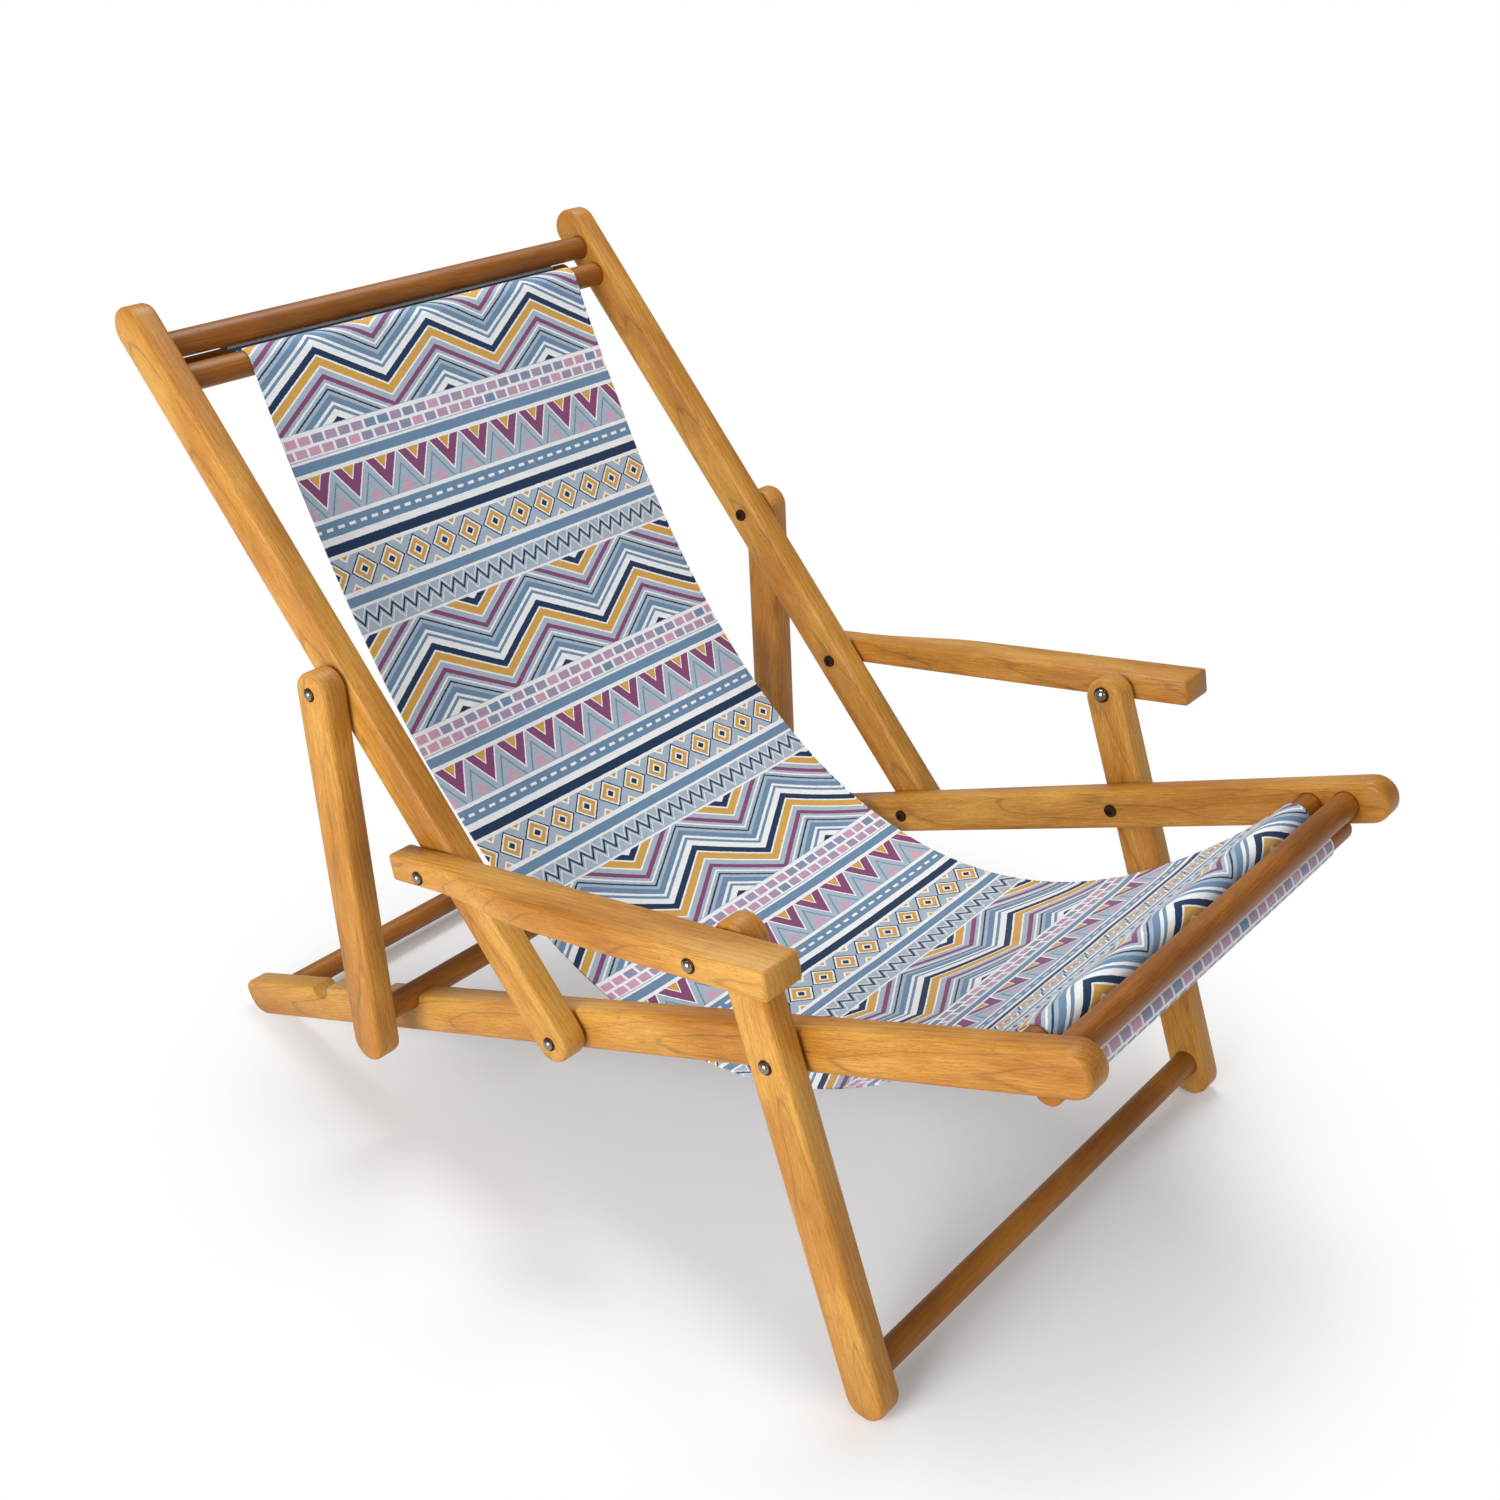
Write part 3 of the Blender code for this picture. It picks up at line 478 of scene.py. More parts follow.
# %% Dress the frame
SEAT_WAY = centre_of("seat_rear_bar") - centre_of("seat_front_bar")
BACK_WAY = centre_of("back_top_bar") - centre_of("back_hinge_right_bolt")
LEG_WAY = centre_of("leg_top_right_bolt") - centre_of("leg_cross_bar")
PROP_WAY = centre_of("prop_pivot_right_bolt") - centre_of("prop_bar")
ARM_WAY = centre_of("arm_pivot_right_bolt") - centre_of("leg_top_right_bolt")
CROSS_WAY = Vector((1, 0, 0))

STICKS = (
    ("seat_rail", "seat", SEAT_WAY),
    ("back_rail", "back", BACK_WAY),
    ("front_leg", "front_legs", LEG_WAY),
    ("prop_leg", "prop", PROP_WAY),
    ("arm", "arm", ARM_WAY),
)
BARS = (
    ("seat_rear_bar", "seat"),
    ("seat_front_bar", "seat"),
    ("seat_sling_bar", "seat"),
    ("front_hem_bar", "seat"),
    ("back_top_bar", "back"),
    ("back_sling_bar", "back"),
    ("rear_hem_bar", "back"),
    ("leg_cross_bar", "front_legs"),
    ("prop_bar", "prop"),
)
plank = 0
for stick, body, way in STICKS:
    for side in ("right", "left"):
        plank += 1
        own_body = f"arm_{side}" if body == "arm" else body
        flat_way = Vector((0, way.y, way.z))
        dress_wood(f"{stick}_{side}", own_body, flat_way, stick_wood, plank)
for node, body in BARS:
    plank += 1
    dress_wood(node, body, CROSS_WAY, bar_wood, plank)
print("wooden pieces dressed:", plank)

# %% [markdown]
# ## Bolts and nuts
# At each pivot a bolt with a polished dome shows on the outside, and a dark cap nut with a hexagon socket
# on the inside. Round each dome lies a dark collar, which is painted shade: it stands for the shaded recess
# that the dome sits in. The shapes are turned on a lathe: a list of heights and radii is swept round an
# axis. Geometry Nodes then put one copy on each pivot, because one tree can serve every bolt on a body.

# %% Metals
SCUFF_SCALE = 1400.0
STAIN_SCALE = 700.0


def specks(tree, scale, detail):
    """Fine noise that is fixed to the object."""
    place = add(tree, "ShaderNodeTexCoord").outputs["Object"]
    return add(tree, "ShaderNodeTexNoise", {"Vector": place, "Scale": scale, "Detail": detail})


polished, tree, shader = new_material("polished_steel")
scuffs = specks(tree, SCUFF_SCALE, 2.0)
scuffed = add(tree, "ShaderNodeMapRange", {"Value": scuffs, **NOISE_SPAN, "To Min": 0.16, "To Max": 0.30})
feed(shader, {"Base Color": linear("#948B80"), "Roughness": scuffed, "Metallic": 1.0})

# This dark bronze is the real colour of the cap nuts and washers. On the collars round the domes it is
# painted shade, which stands for the shaded recess that each dome sits in.
dark_bronze_and_shade, tree, shader = new_material("oxidised_bronze")
stain = specks(tree, STAIN_SCALE, 3.0)
stain_tone = add(tree, "ShaderNodeValToRGB", {0: stain})
set_stops(stain_tone, [(0.35, "#2A1B12"), (0.65, "#4A3020")])
stain_rough = add(
    tree, "ShaderNodeMapRange", {"Value": stain, **NOISE_SPAN, "To Min": 0.30, "To Max": 0.48}
)
feed(shader, {"Base Color": stain_tone, "Roughness": stain_rough, "Metallic": 0.8})
print("metals:", polished.name, dark_bronze_and_shade.name)

# %% [markdown]
# A turned shape is a stack of rings. A ring's radius may also be a function of the angle, which makes the
# hexagon of the socket with the same few lines. A flat face closes the first and the last ring.

# %% Lathe
LATHE_STEPS = 24
METAL_SHARP_ANGLE = math.radians(42)
HEXAGON_WIDTH = 0.0046
# The collar sizes are those of the dark ring round each dome, which is painted shade of the recess that the
# dome sits in.
SHADE_RING_RADIUS = 0.0061
SHADE_RING_HEIGHT = 0.0011
DOME_RADIUS = 0.0049
DOME_HEIGHT = 0.0042
NUT_RADIUS = 0.0060
NUT_HEIGHT = 0.0025
NUT_CHAMFER = 0.0008
NUT_FLAT_RADIUS = 0.0034
SHADE_RING_CHAMFER = 0.0005
SHADE_RING_CLEARANCE = 0.0002
SHADE_RING_OVERLAP = 0.0001
DOME_STEPS = 8
DOME_SWEEP = 8 / 8.6 * math.pi / 2
SOCKET_FLOOR = 0.0008
SUNK = 0.0006
END_GAP = 0.0001


def hexagon(angle):
    """The radius of a hexagon of the socket's width at an angle."""
    from_middle = (angle + math.pi / 6) % (math.pi / 3) - math.pi / 6
    return HEXAGON_WIDTH / 2 / math.cos(from_middle)


def turned(name, profile):
    """A hidden shape from (height, radius) rings, closed at both ends, with its axis along Z."""
    shape = bmesh.new()
    rings = []
    for height, radius in profile:
        ring = []
        for step in range(LATHE_STEPS):
            angle = step * 2 * math.pi / LATHE_STEPS
            reach = radius(angle) if callable(radius) else radius
            ring.append(shape.verts.new((reach * math.cos(angle), reach * math.sin(angle), height)))
        rings.append(ring)
    for low, high in zip(rings, rings[1:]):
        for step in range(LATHE_STEPS):
            after = (step + 1) % LATHE_STEPS
            shape.faces.new((low[step], low[after], high[after], high[step]))
    shape.faces.new(list(reversed(rings[0])))
    shape.faces.new(rings[-1])
    bmesh.ops.recalc_face_normals(shape, faces=shape.faces)
    mesh = bpy.data.meshes.new(name)
    shape.to_mesh(mesh)
    shape.free()
    smooth_below(mesh, METAL_SHARP_ANGLE)
    made = new_object(name, mesh)
    made.hide_render = True
    return made


DOME_FOOT = SHADE_RING_HEIGHT * 0.6
dome_rings = [(-SUNK, DOME_RADIUS), (DOME_FOOT, DOME_RADIUS)]
for step in range(1, DOME_STEPS + 1):
    turn = DOME_SWEEP * step / DOME_STEPS
    rise = (DOME_HEIGHT - DOME_FOOT) * math.sin(turn)
    dome_rings.append((DOME_FOOT + rise, DOME_RADIUS * math.cos(turn)))
dome_shape = turned("dome_shape", dome_rings)
# The collar is the dark ring of painted shade round each dome.
collar_shape = turned(
    "collar_shape",
    [
        (-SUNK, SHADE_RING_RADIUS),
        (DOME_FOOT, SHADE_RING_RADIUS),
        (SHADE_RING_HEIGHT, SHADE_RING_RADIUS - SHADE_RING_CHAMFER),
        (SHADE_RING_HEIGHT, DOME_RADIUS + SHADE_RING_CLEARANCE),
        (SHADE_RING_HEIGHT * 0.3, DOME_RADIUS - SHADE_RING_OVERLAP),
    ],
)
cap_shape = turned(
    "cap_shape",
    [
        (-SUNK, NUT_RADIUS),
        (NUT_HEIGHT - NUT_CHAMFER, NUT_RADIUS),
        (NUT_HEIGHT, NUT_RADIUS - NUT_CHAMFER),
        (NUT_HEIGHT, NUT_FLAT_RADIUS),
        (NUT_HEIGHT, hexagon),
        (SOCKET_FLOOR, hexagon),
    ],
)
print("turned shapes:", dome_shape.name, collar_shape.name, cap_shape.name)

# %% [markdown]
# The tree below has the pivots as points. Each point knows which way is outwards. An instance of the
# turned shape goes on each point, with its axis turned outwards, and the instances become real geometry
# at the end, because an export would lose them.

# %% Fasteners on their pivots
def geometry_tree(name, inputs):
    """An empty Geometry Nodes tree with named inputs, and the identifier of each by its name."""
    made = bpy.data.node_groups.new(name, "GeometryNodeTree")
    made.interface.new_socket("Geometry", in_out="INPUT", socket_type="NodeSocketGeometry")
    identifiers = {}
    for label, kind in inputs.items():
        socket = made.interface.new_socket(label, in_out="INPUT", socket_type="NodeSocket" + kind)
        identifiers[label] = socket.identifier
    made.interface.new_socket("Geometry", in_out="OUTPUT", socket_type="NodeSocketGeometry")
    return made, identifiers


def made_by_tree(name, mesh, tree, identifiers, values):
    """A plain mesh object that a tree makes from points or edges and the values of its inputs."""
    piece = new_object(name, mesh)
    modifier = piece.modifiers.new(tree.name, "NODES")
    modifier.node_group = tree
    for label, value in values.items():
        modifier[identifiers[label]] = value
    bake(piece)
    return piece


fastener_tree, fastener_inputs = geometry_tree(
    "fasteners_on_pivots", {"Shape": "Object", "Size": "Float", "Finish": "Material"}
)
given = add(fastener_tree, "NodeGroupInput")
outward = add(
    fastener_tree, "GeometryNodeInputNamedAttribute", {"Name": "outward"}, data_type="FLOAT_VECTOR"
)
facing = add(
    fastener_tree, "FunctionNodeAlignRotationToVector", {"Vector": outward.outputs["Attribute"]}, axis="Z"
)
model = add(
    fastener_tree, "GeometryNodeObjectInfo", {"Object": given.outputs["Shape"], "As Instance": True}
)
placed = add(
    fastener_tree,
    "GeometryNodeInstanceOnPoints",
    {
        "Points": given.outputs["Geometry"],
        "Instance": model.outputs["Geometry"],
        "Rotation": facing,
        "Scale": given.outputs["Size"],
    },
)
real = add(fastener_tree, "GeometryNodeRealizeInstances", {"Geometry": placed})
coloured = add(
    fastener_tree, "GeometryNodeSetMaterial", {"Geometry": real, "Material": given.outputs["Finish"]}
)
add(fastener_tree, "NodeGroupOutput", {0: coloured})


def fasteners(name, body, shape, places, size, finish, stands_for=()):
    """One mesh with a turned shape on each (place, outward) pair, riding on a body."""
    points = bpy.data.meshes.new(name)
    points.from_pydata([place for place, _ in places], [], [])
    directions = points.attributes.new("outward", "FLOAT_VECTOR", "POINT")
    directions.data.foreach_set("vector", [c for _, way in places for c in way])
    values = {"Shape": shape, "Size": size, "Finish": finish}
    piece = made_by_tree(name, points, fastener_tree, fastener_inputs, values)
    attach(piece, body)
    if stands_for:
        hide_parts(*stands_for)
    print(name, "has", len(places), "copies and", len(piece.data.polygons), "faces")


print("fastener tree has", len(fastener_tree.nodes), "nodes")

# %% [markdown]
# The pivots' places come from the frame's own bolts and nuts: a dome sits on the outer face that its bolt
# passes through, and a cap on the inner face that its nut is let into. At the legs' tops a larger dome
# closes the bolt's inner end. It stands just off the leg, because it moves with the arm.

# %% Place the fasteners
OUTWARD = {"right": Vector((-1, 0, 0)), "left": Vector((1, 0, 0))}
PIVOTS = (("seat", ("back_hinge", "leg_pivot")), ("back", ("arm_pivot", "prop_pivot")))


def face_places(pivots, sides, height, faces_out):
    """Places on the faces that heads or caps stand on, each with its outward direction."""
    places = []
    for pivot in pivots:
        for side in sides:
            node = pivot.format(side)
            way = OUTWARD[side] if faces_out else -OUTWARD[side]
            low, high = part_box(node)
            face = low[0] if way.x < 0 else high[0]
            middle = centre_of(node)
            places.append((Vector((face, middle.y, middle.z)) - way * height, way))
    return places


BOTH = ("right", "left")
END_SIZE = 1.19
END_STAND = SUNK * END_SIZE + END_GAP
for body, pivots in PIVOTS:
    bolts = [pivot + "_{}_bolt" for pivot in pivots]
    nuts = [pivot + "_{}_nut" for pivot in pivots]
    heads = face_places(bolts, BOTH, DOME_HEIGHT, True)
    caps = face_places(nuts, BOTH, NUT_HEIGHT, False)
    bolt_nodes = [b.format(s) for b in bolts for s in BOTH]
    nut_nodes = [n.format(s) for n in nuts for s in BOTH]
    fasteners(f"{body}_bolt_domes", body, dome_shape, heads, 1.0, polished, bolt_nodes)
    # The collars are dark rings of painted shade for the recess round each dome.
    fasteners(f"{body}_bolt_collars", body, collar_shape, heads, 1.0, dark_bronze_and_shade)
    fasteners(f"{body}_cap_nuts", body, cap_shape, caps, 1.0, dark_bronze_and_shade, nut_nodes)
for side in BOTH:
    body = f"arm_{side}"
    heads = face_places(["leg_top_{}_bolt"], (side,), DOME_HEIGHT, True)
    ends = face_places(["leg_top_{}_nut"], (side,), DOME_HEIGHT - END_STAND, False)
    bolt_node, nut_node = f"leg_top_{side}_bolt", f"leg_top_{side}_nut"
    fasteners(f"{body}_bolt_dome", body, dome_shape, heads, 1.0, polished, [bolt_node])
    # The collars are dark rings of painted shade for the recess round each dome.
    fasteners(f"{body}_bolt_collar", body, collar_shape, heads, 1.0, dark_bronze_and_shade)
    fasteners(f"{body}_end_dome", body, dome_shape, ends, END_SIZE, polished, [nut_node])
    fasteners(f"{body}_end_collar", body, collar_shape, ends, END_SIZE, dark_bronze_and_shade)

# %% [markdown]
# The washers between the sticks are plain dark rings that hardly show. The frame's own solids are right
# for them, so they only get the dark metal.

# %% Washers
washers = [o for o in bpy.data.objects if o.get("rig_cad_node", "").endswith("_washer")]
for washer in washers:
    washer.data.materials.clear()
    washer.data.materials.append(dark_bronze_and_shade)
print("washers:", len(washers))

# %% [markdown]
# ## The sling's line
# The sling is a strip of canvas. Each end is sewn into a pocket round a loose bar, the cloth comes out
# between a pair of fixed bars, lies over the inner one and hangs to the other end. A cloth that hangs
# freely takes the shape of a chain, a catenary, so the side view can be calculated instead of drawn.

# %% Side view of the sling
CLOTH_THICKNESS = 0.0013
CLOTH_SLACK = 0.228
CLOTH_LIE = 0.0126
SEAM_DISTANCE = 0.0068
SEAM_LAP = 0.005
PLY_GAP = 0.0004


def side_view(node):
    """A bar's middle as (backwards, up)."""
    middle = centre_of(node)
    return Vector((middle.y, middle.z))


def heading(angle, length=1.0):
    """A step of a length in a direction, in the side view."""
    return Vector((math.cos(angle), math.sin(angle))) * length


def angle_of(step):
    """The direction of a step in the side view."""
    return math.atan2(step.y, step.x)


def near_turn(angle, reference):
    """The same direction, written within half a turn of a reference."""
    return reference + math.remainder(angle - reference, 2 * math.pi)


def round_bar(centre, start, end, steps):
    """Points of cloth that lies round a bar from one direction to another."""
    turns = (start + (end - start) * i / steps for i in range(steps + 1))
    return [centre + heading(turn, CLOTH_LIE) for turn in turns]


def hanging(front, rear, length, steps):
    """Points along a chain of a length between two points."""
    span = rear - front
    level = math.sqrt(length**2 - span.y**2)
    small, large = span.x / 40, span.x * 40
    for _ in range(80):
        size = math.sqrt(small * large)
        if 2 * size * math.sinh(span.x / (2 * size)) > level:
            small = size
        else:
            large = size
    low = (front.x + rear.x) / 2 - size * math.asinh(span.y / (2 * size * math.sinh(span.x / (2 * size))))
    base = front.y - size * math.cosh((front.x - low) / size)
    places = (front.x + span.x * i / steps for i in range(steps + 1))
    return [Vector((y, base + size * math.cosh((y - low) / size))) for y in places]


def hem_pocket(loose, meet, turn_way, strip_end):
    """A pocket round a loose bar, from the sewn lap to the point where the strip leaves the bar."""
    touch = loose + heading(meet, CLOTH_LIE)
    strip = (strip_end - touch).normalized()
    ply = heading(meet, -(CLOTH_THICKNESS + PLY_GAP))
    seam = touch + strip * SEAM_DISTANCE + ply
    reach = (seam - loose).length
    other = angle_of(seam - loose) + turn_way * math.acos(min(1.0, CLOTH_LIE / reach))
    start = meet + math.remainder(other - meet, 2 * math.pi)
    if (start - meet) * turn_way > 0:
        start -= turn_way * 2 * math.pi
    return [seam + strip * SEAM_LAP, seam + strip * SEAM_LAP / 2, seam] + round_bar(loose, start, meet, 30)


rear_bar = side_view("back_sling_bar")
rear_loose = side_view("rear_hem_bar")
front_bar = side_view("seat_sling_bar")
front_loose = side_view("front_hem_bar")
slack_length = (rear_bar - front_bar).length + CLOTH_SLACK
front_end, rear_end = front_bar, rear_bar
for _ in range(12):
    line = hanging(front_end, rear_end, slack_length, 200)
    front_slope = angle_of(line[1] - line[0])
    rear_slope = angle_of(line[-1] - line[-2])
    front_end = front_bar + heading(front_slope + math.pi / 2, CLOTH_LIE)
    rear_end = rear_bar + heading(rear_slope + math.pi / 2, CLOTH_LIE)
print("free cloth between the bars:", round(slack_length, 3), "m")

# %% [markdown]
# Between a fixed bar and its loose bar the cloth runs straight and crosses over, like a crossed belt on
# two pulleys. The angle at which such a belt leaves a pulley is known, so the hems follow from the bars.

# %% Join the parts of the line
def crossed_belt(bar, loose, lean):
    """Directions at which the strip leaves the bar and meets the loose bar."""
    span = loose - bar
    leave = angle_of(span) + lean * math.acos(2 * CLOTH_LIE / span.length)
    return leave, leave + math.pi


rear_leave, rear_meet = crossed_belt(rear_bar, rear_loose, 1)
front_leave, front_meet = crossed_belt(front_bar, front_loose, -1)
rear_wrap = round_bar(rear_bar, rear_leave, near_turn(rear_slope + math.pi / 2, rear_leave), 14)
front_wrap = round_bar(front_bar, near_turn(front_slope + math.pi / 2, front_leave), front_leave, 14)
rear_pocket = hem_pocket(rear_loose, rear_meet, -1, rear_wrap[0])
front_pocket = hem_pocket(front_loose, front_meet, 1, front_wrap[-1])
sling_line = rear_pocket + rear_wrap + line[-2:0:-1] + front_wrap + front_pocket[::-1]
line_places = [0.0]
for before, after in zip(sling_line, sling_line[1:]):
    line_places.append(line_places[-1] + (after - before).length)
SLING_LENGTH = line_places[-1]
print("sling is", round(SLING_LENGTH, 3), "m long with its hems")

# %% [markdown]
# ## The canvas
# The strip becomes a grid of points: the side view gives each row, and the width gives the columns. Real
# canvas isn't a perfect sheet, so the free part waves by a few millimetres, least at the bars that hold it
# straight. It also hangs a little askew, as it does in the photograph. A Solidify modifier gives it the
# thickness of canvas, and its UV map is in metres, so a print can be laid out on it as on the flat cloth.

# %% Cloth mesh
CLOTH_COLUMNS = 48
CLOTH_SKEW = 0.017
CLOTH_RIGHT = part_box("sling")[0][0] + CLOTH_SKEW
CLOTH_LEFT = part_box("sling")[1][0]
CLOTH_WIDTH = CLOTH_LEFT - CLOTH_RIGHT
WAVE_HEIGHT = 0.0022
SLOW_WAVES = (7.0, 2.6, 4.2)
FINE_WAVES = (18.0, 5.0, 9.7)
FINE_SHARE = 0.35
EDGE_CURL = 0.0030
CURL_POWER = 6
HOLD_LENGTH = 0.16
HEM_LENGTH = line_places[len(rear_pocket) + len(rear_wrap) - 1]


def looseness(place):
    """Nought at the bars and one where the cloth hangs freely."""
    from_ends = min(place - HEM_LENGTH, SLING_LENGTH - HEM_LENGTH - place)
    share = max(0.0, min(1.0, from_ends / HOLD_LENGTH))
    return share * share * (3 - 2 * share)


def cloth_rise(place, x):
    """How far the cloth stands off its line: soft waves, and edges that curl a little."""
    slow, fine = (noise.noise(Vector((x * a, place * b, c))) for a, b, c in (SLOW_WAVES, FINE_WAVES))
    from_middle = abs(2 * (x - CLOTH_RIGHT) / CLOTH_WIDTH - 1)
    waves = WAVE_HEIGHT * (slow + fine * FINE_SHARE)
    return looseness(place) * (waves + EDGE_CURL * from_middle**CURL_POWER)


cloth_mesh = bpy.data.meshes.new("sling_canvas")
rows = len(sling_line)
cloth_points = []
for row, point in enumerate(sling_line):
    ahead = sling_line[min(row + 1, rows - 1)] - sling_line[max(row - 1, 0)]
    normal = Vector((ahead.y, -ahead.x)).normalized()
    for column in range(CLOTH_COLUMNS + 1):
        x = CLOTH_RIGHT + CLOTH_WIDTH * column / CLOTH_COLUMNS
        place = point + normal * cloth_rise(line_places[row], x)
        askew = CLOTH_SKEW * line_places[row] / SLING_LENGTH
        cloth_points.append((x - askew, place.x, place.y))
stride = CLOTH_COLUMNS + 1
cloth_faces = []
for row in range(rows - 1):
    for column in range(CLOTH_COLUMNS):
        corner = row * stride + column
        cloth_faces.append((corner, corner + stride, corner + stride + 1, corner + 1))
cloth_mesh.from_pydata(cloth_points, [], cloth_faces)
cloth_uv = cloth_mesh.uv_layers.new(name="cloth")
for loop in cloth_mesh.loops:
    row, column = divmod(loop.vertex_index, stride)
    cloth_uv.data[loop.index].uv = (CLOTH_WIDTH * column / CLOTH_COLUMNS, line_places[row])
canvas = new_object("sling_canvas", cloth_mesh)
thickness = canvas.modifiers.new("thickness", "SOLIDIFY")
thickness.thickness = CLOTH_THICKNESS
thickness.offset = 0.0
thickness.material_offset = 1
thickness.material_offset_rim = 1
print("cloth grid:", rows, "rows by", stride, "columns")

# %% [markdown]
# ## The print
# The cloth is printed in bands: stripes, zigzags, chevrons, triangles and lozenges in grey-blue, navy,
# mustard, plum and white. Drawing it as an image would be simple, but nodes keep it sharp at any size.
# The place along the cloth picks a band, and each motif is a small sum of the two places.

# %% Colours and bands
GROUND = "#AEBECE"
NAVY = "#123257"
STEEL = "#6F90B0"
MUSTARD = "#DBA94F"
PLUM = "#8A4A76"
PINK = "#DDA5BF"
CHALK = "#F7F9FB"

BANDS = (
    ("line_1", 0.006, CHALK),
    ("rule_1", 0.009, NAVY),
    ("line_2", 0.004, CHALK),
    ("lozenges", 0.032, GROUND),
    ("line_3", 0.004, CHALK),
    ("rule_2", 0.009, STEEL),
    ("line_4", 0.003, CHALK),
    ("zigzag", 0.022, GROUND),
    ("line_5", 0.003, CHALK),
    ("chevrons", 0.096, GROUND),
    ("line_6", 0.003, CHALK),
    ("blocks", 0.021, GROUND),
    ("line_7", 0.003, CHALK),
    ("rule_3", 0.009, STEEL),
    ("line_8", 0.004, CHALK),
    ("triangles", 0.038, GROUND),
    ("line_9", 0.004, CHALK),
    ("dashes", 0.014, STEEL),
)
REPEAT = sum(width for _, width, _ in BANDS)
band_start = {}
band_middle = {}
band_half = {}
reached = 0.0
for name, width, _ in BANDS:
    band_start[name] = reached
    band_middle[name] = reached + width / 2
    band_half[name] = width / 2
    reached += width
print("the print repeats every", round(REPEAT * 1000), "mm")

# %% [markdown]
# The first nodes read the cloth's UV map, shake it a little, as ink does in a weave, and split it into
# the place across and the place along within one repeat.

# %% Places on the cloth
INK_WANDER = 0.0009
INK_SCALE = 420.0
THREAD_SPACING = 0.0016


def printed_canvas(name, fade):
    """Printed cotton canvas, matt with a fine weave and more or less faded."""
    made, tree, shader = new_material(name)
    flat = add(tree, "ShaderNodeUVMap", uv_map="cloth")
    shake = add(tree, "ShaderNodeTexNoise", {"Vector": flat, "Scale": INK_SCALE, "Detail": 1.0})
    shift = add(
        tree,
        "ShaderNodeVectorMath",
        {0: shake.outputs["Color"], 1: (INK_WANDER, INK_WANDER, 0), 2: flat},
        operation="MULTIPLY_ADD",
    )
    place = add(tree, "ShaderNodeSeparateXYZ", {0: shift})
    across = place.outputs["X"]
    along = add(tree, "ShaderNodeMath", {0: place.outputs["Y"], 1: REPEAT}, operation="FLOORED_MODULO")
    colour = printed_bands(tree, across, along)
    weave_and_finish(tree, shader, flat, colour, fade)
    return made


def printed_bands(tree, across, along):
    """The ground stripes, with each motif laid over its own band."""
    share = add(tree, "ShaderNodeMath", {0: along, 1: REPEAT}, operation="DIVIDE")
    stripes = add(tree, "ShaderNodeValToRGB", {0: share})
    set_stops(stripes, [(band_start[name] / REPEAT, colour) for name, _, colour in BANDS], step_like=True)
    colour = stripes
    for name, motif in MOTIFS:
        inside = add(
            tree,
            "ShaderNodeMath",
            {0: along, 1: band_middle[name], 2: band_half[name]},
            operation="COMPARE",
        )
        height = add(tree, "ShaderNodeMath", {0: along, 1: band_middle[name]}, operation="SUBTRACT")
        drawn = motif(tree, across, height)
        laid = add(tree, "ShaderNodeMix", {0: inside, 6: colour, 7: drawn}, data_type="RGBA")
        colour = laid.outputs[2]
    return colour


print("threads are drawn", THREAD_SPACING * 1000, "mm apart, about three times as coarse as real canvas")

# %% [markdown]
# Each motif below gets the place across the cloth and the height above its band's middle line. A Ping-pong
# node turns the place across into an up and down slope, which is all that zigzags, chevrons and triangles
# need. A colour ramp in steps then turns the distance from that slope into coloured lines.

# %% Zigzags, chevrons and triangles
CHEVRON_HALF = 0.066
CHEVRON_STEEPNESS = 0.62
CHEVRON_STEP = 0.064
ZIGZAG_HALF = 0.0075
ZIGZAG_STEEPNESS = -1.5
ZIGZAG_REACH = (-0.020, 0.010)
TRIANGLE_HALF = 0.019
TRIANGLE_STEEPNESS = -1.7
TRIANGLE_REACH = (-0.052, 0.020)


def above_slope(tree, across, height, half, steepness):
    """The height above a line that goes up and down across the cloth."""
    slope = add(tree, "ShaderNodeMath", {0: across, 1: half}, operation="PINGPONG")
    return add(tree, "ShaderNodeMath", {0: slope, 1: steepness, 2: height}, operation="MULTIPLY_ADD")


def zigzag(tree, across, height):
    """Two fine zigzag lines, one navy and one white."""
    level = above_slope(tree, across, height, ZIGZAG_HALF, ZIGZAG_STEEPNESS)
    low, high = ZIGZAG_REACH
    shown = add(tree, "ShaderNodeMapRange", {"Value": level, "From Min": low, "From Max": high})
    tone = add(tree, "ShaderNodeValToRGB", {0: shown})
    set_stops(
        tone,
        [
            (0.0, GROUND), (0.26, CHALK), (0.31, GROUND), (0.38, NAVY), (0.50, GROUND),
            (0.60, CHALK), (0.65, GROUND),
        ],
        step_like=True,
    )
    return tone


def chevrons(tree, across, height):
    """Broad arrows in lines of several colours that point along the cloth."""
    level = above_slope(tree, across, height, CHEVRON_HALF, CHEVRON_STEEPNESS)
    turns = add(tree, "ShaderNodeMath", {0: level, 1: CHEVRON_STEP}, operation="DIVIDE")
    part = add(tree, "ShaderNodeMath", {0: turns}, operation="FRACT")
    tone = add(tree, "ShaderNodeValToRGB", {0: part})
    set_stops(
        tone,
        [
            (0.0, STEEL), (0.10, CHALK), (0.15, STEEL), (0.20, CHALK), (0.31, NAVY), (0.42, CHALK),
            (0.45, MUSTARD), (0.58, CHALK), (0.61, GROUND), (0.70, PLUM), (0.78, GROUND),
            (0.83, CHALK), (0.86, GROUND), (0.91, NAVY), (0.94, GROUND),
        ],
        step_like=True,
    )
    return tone


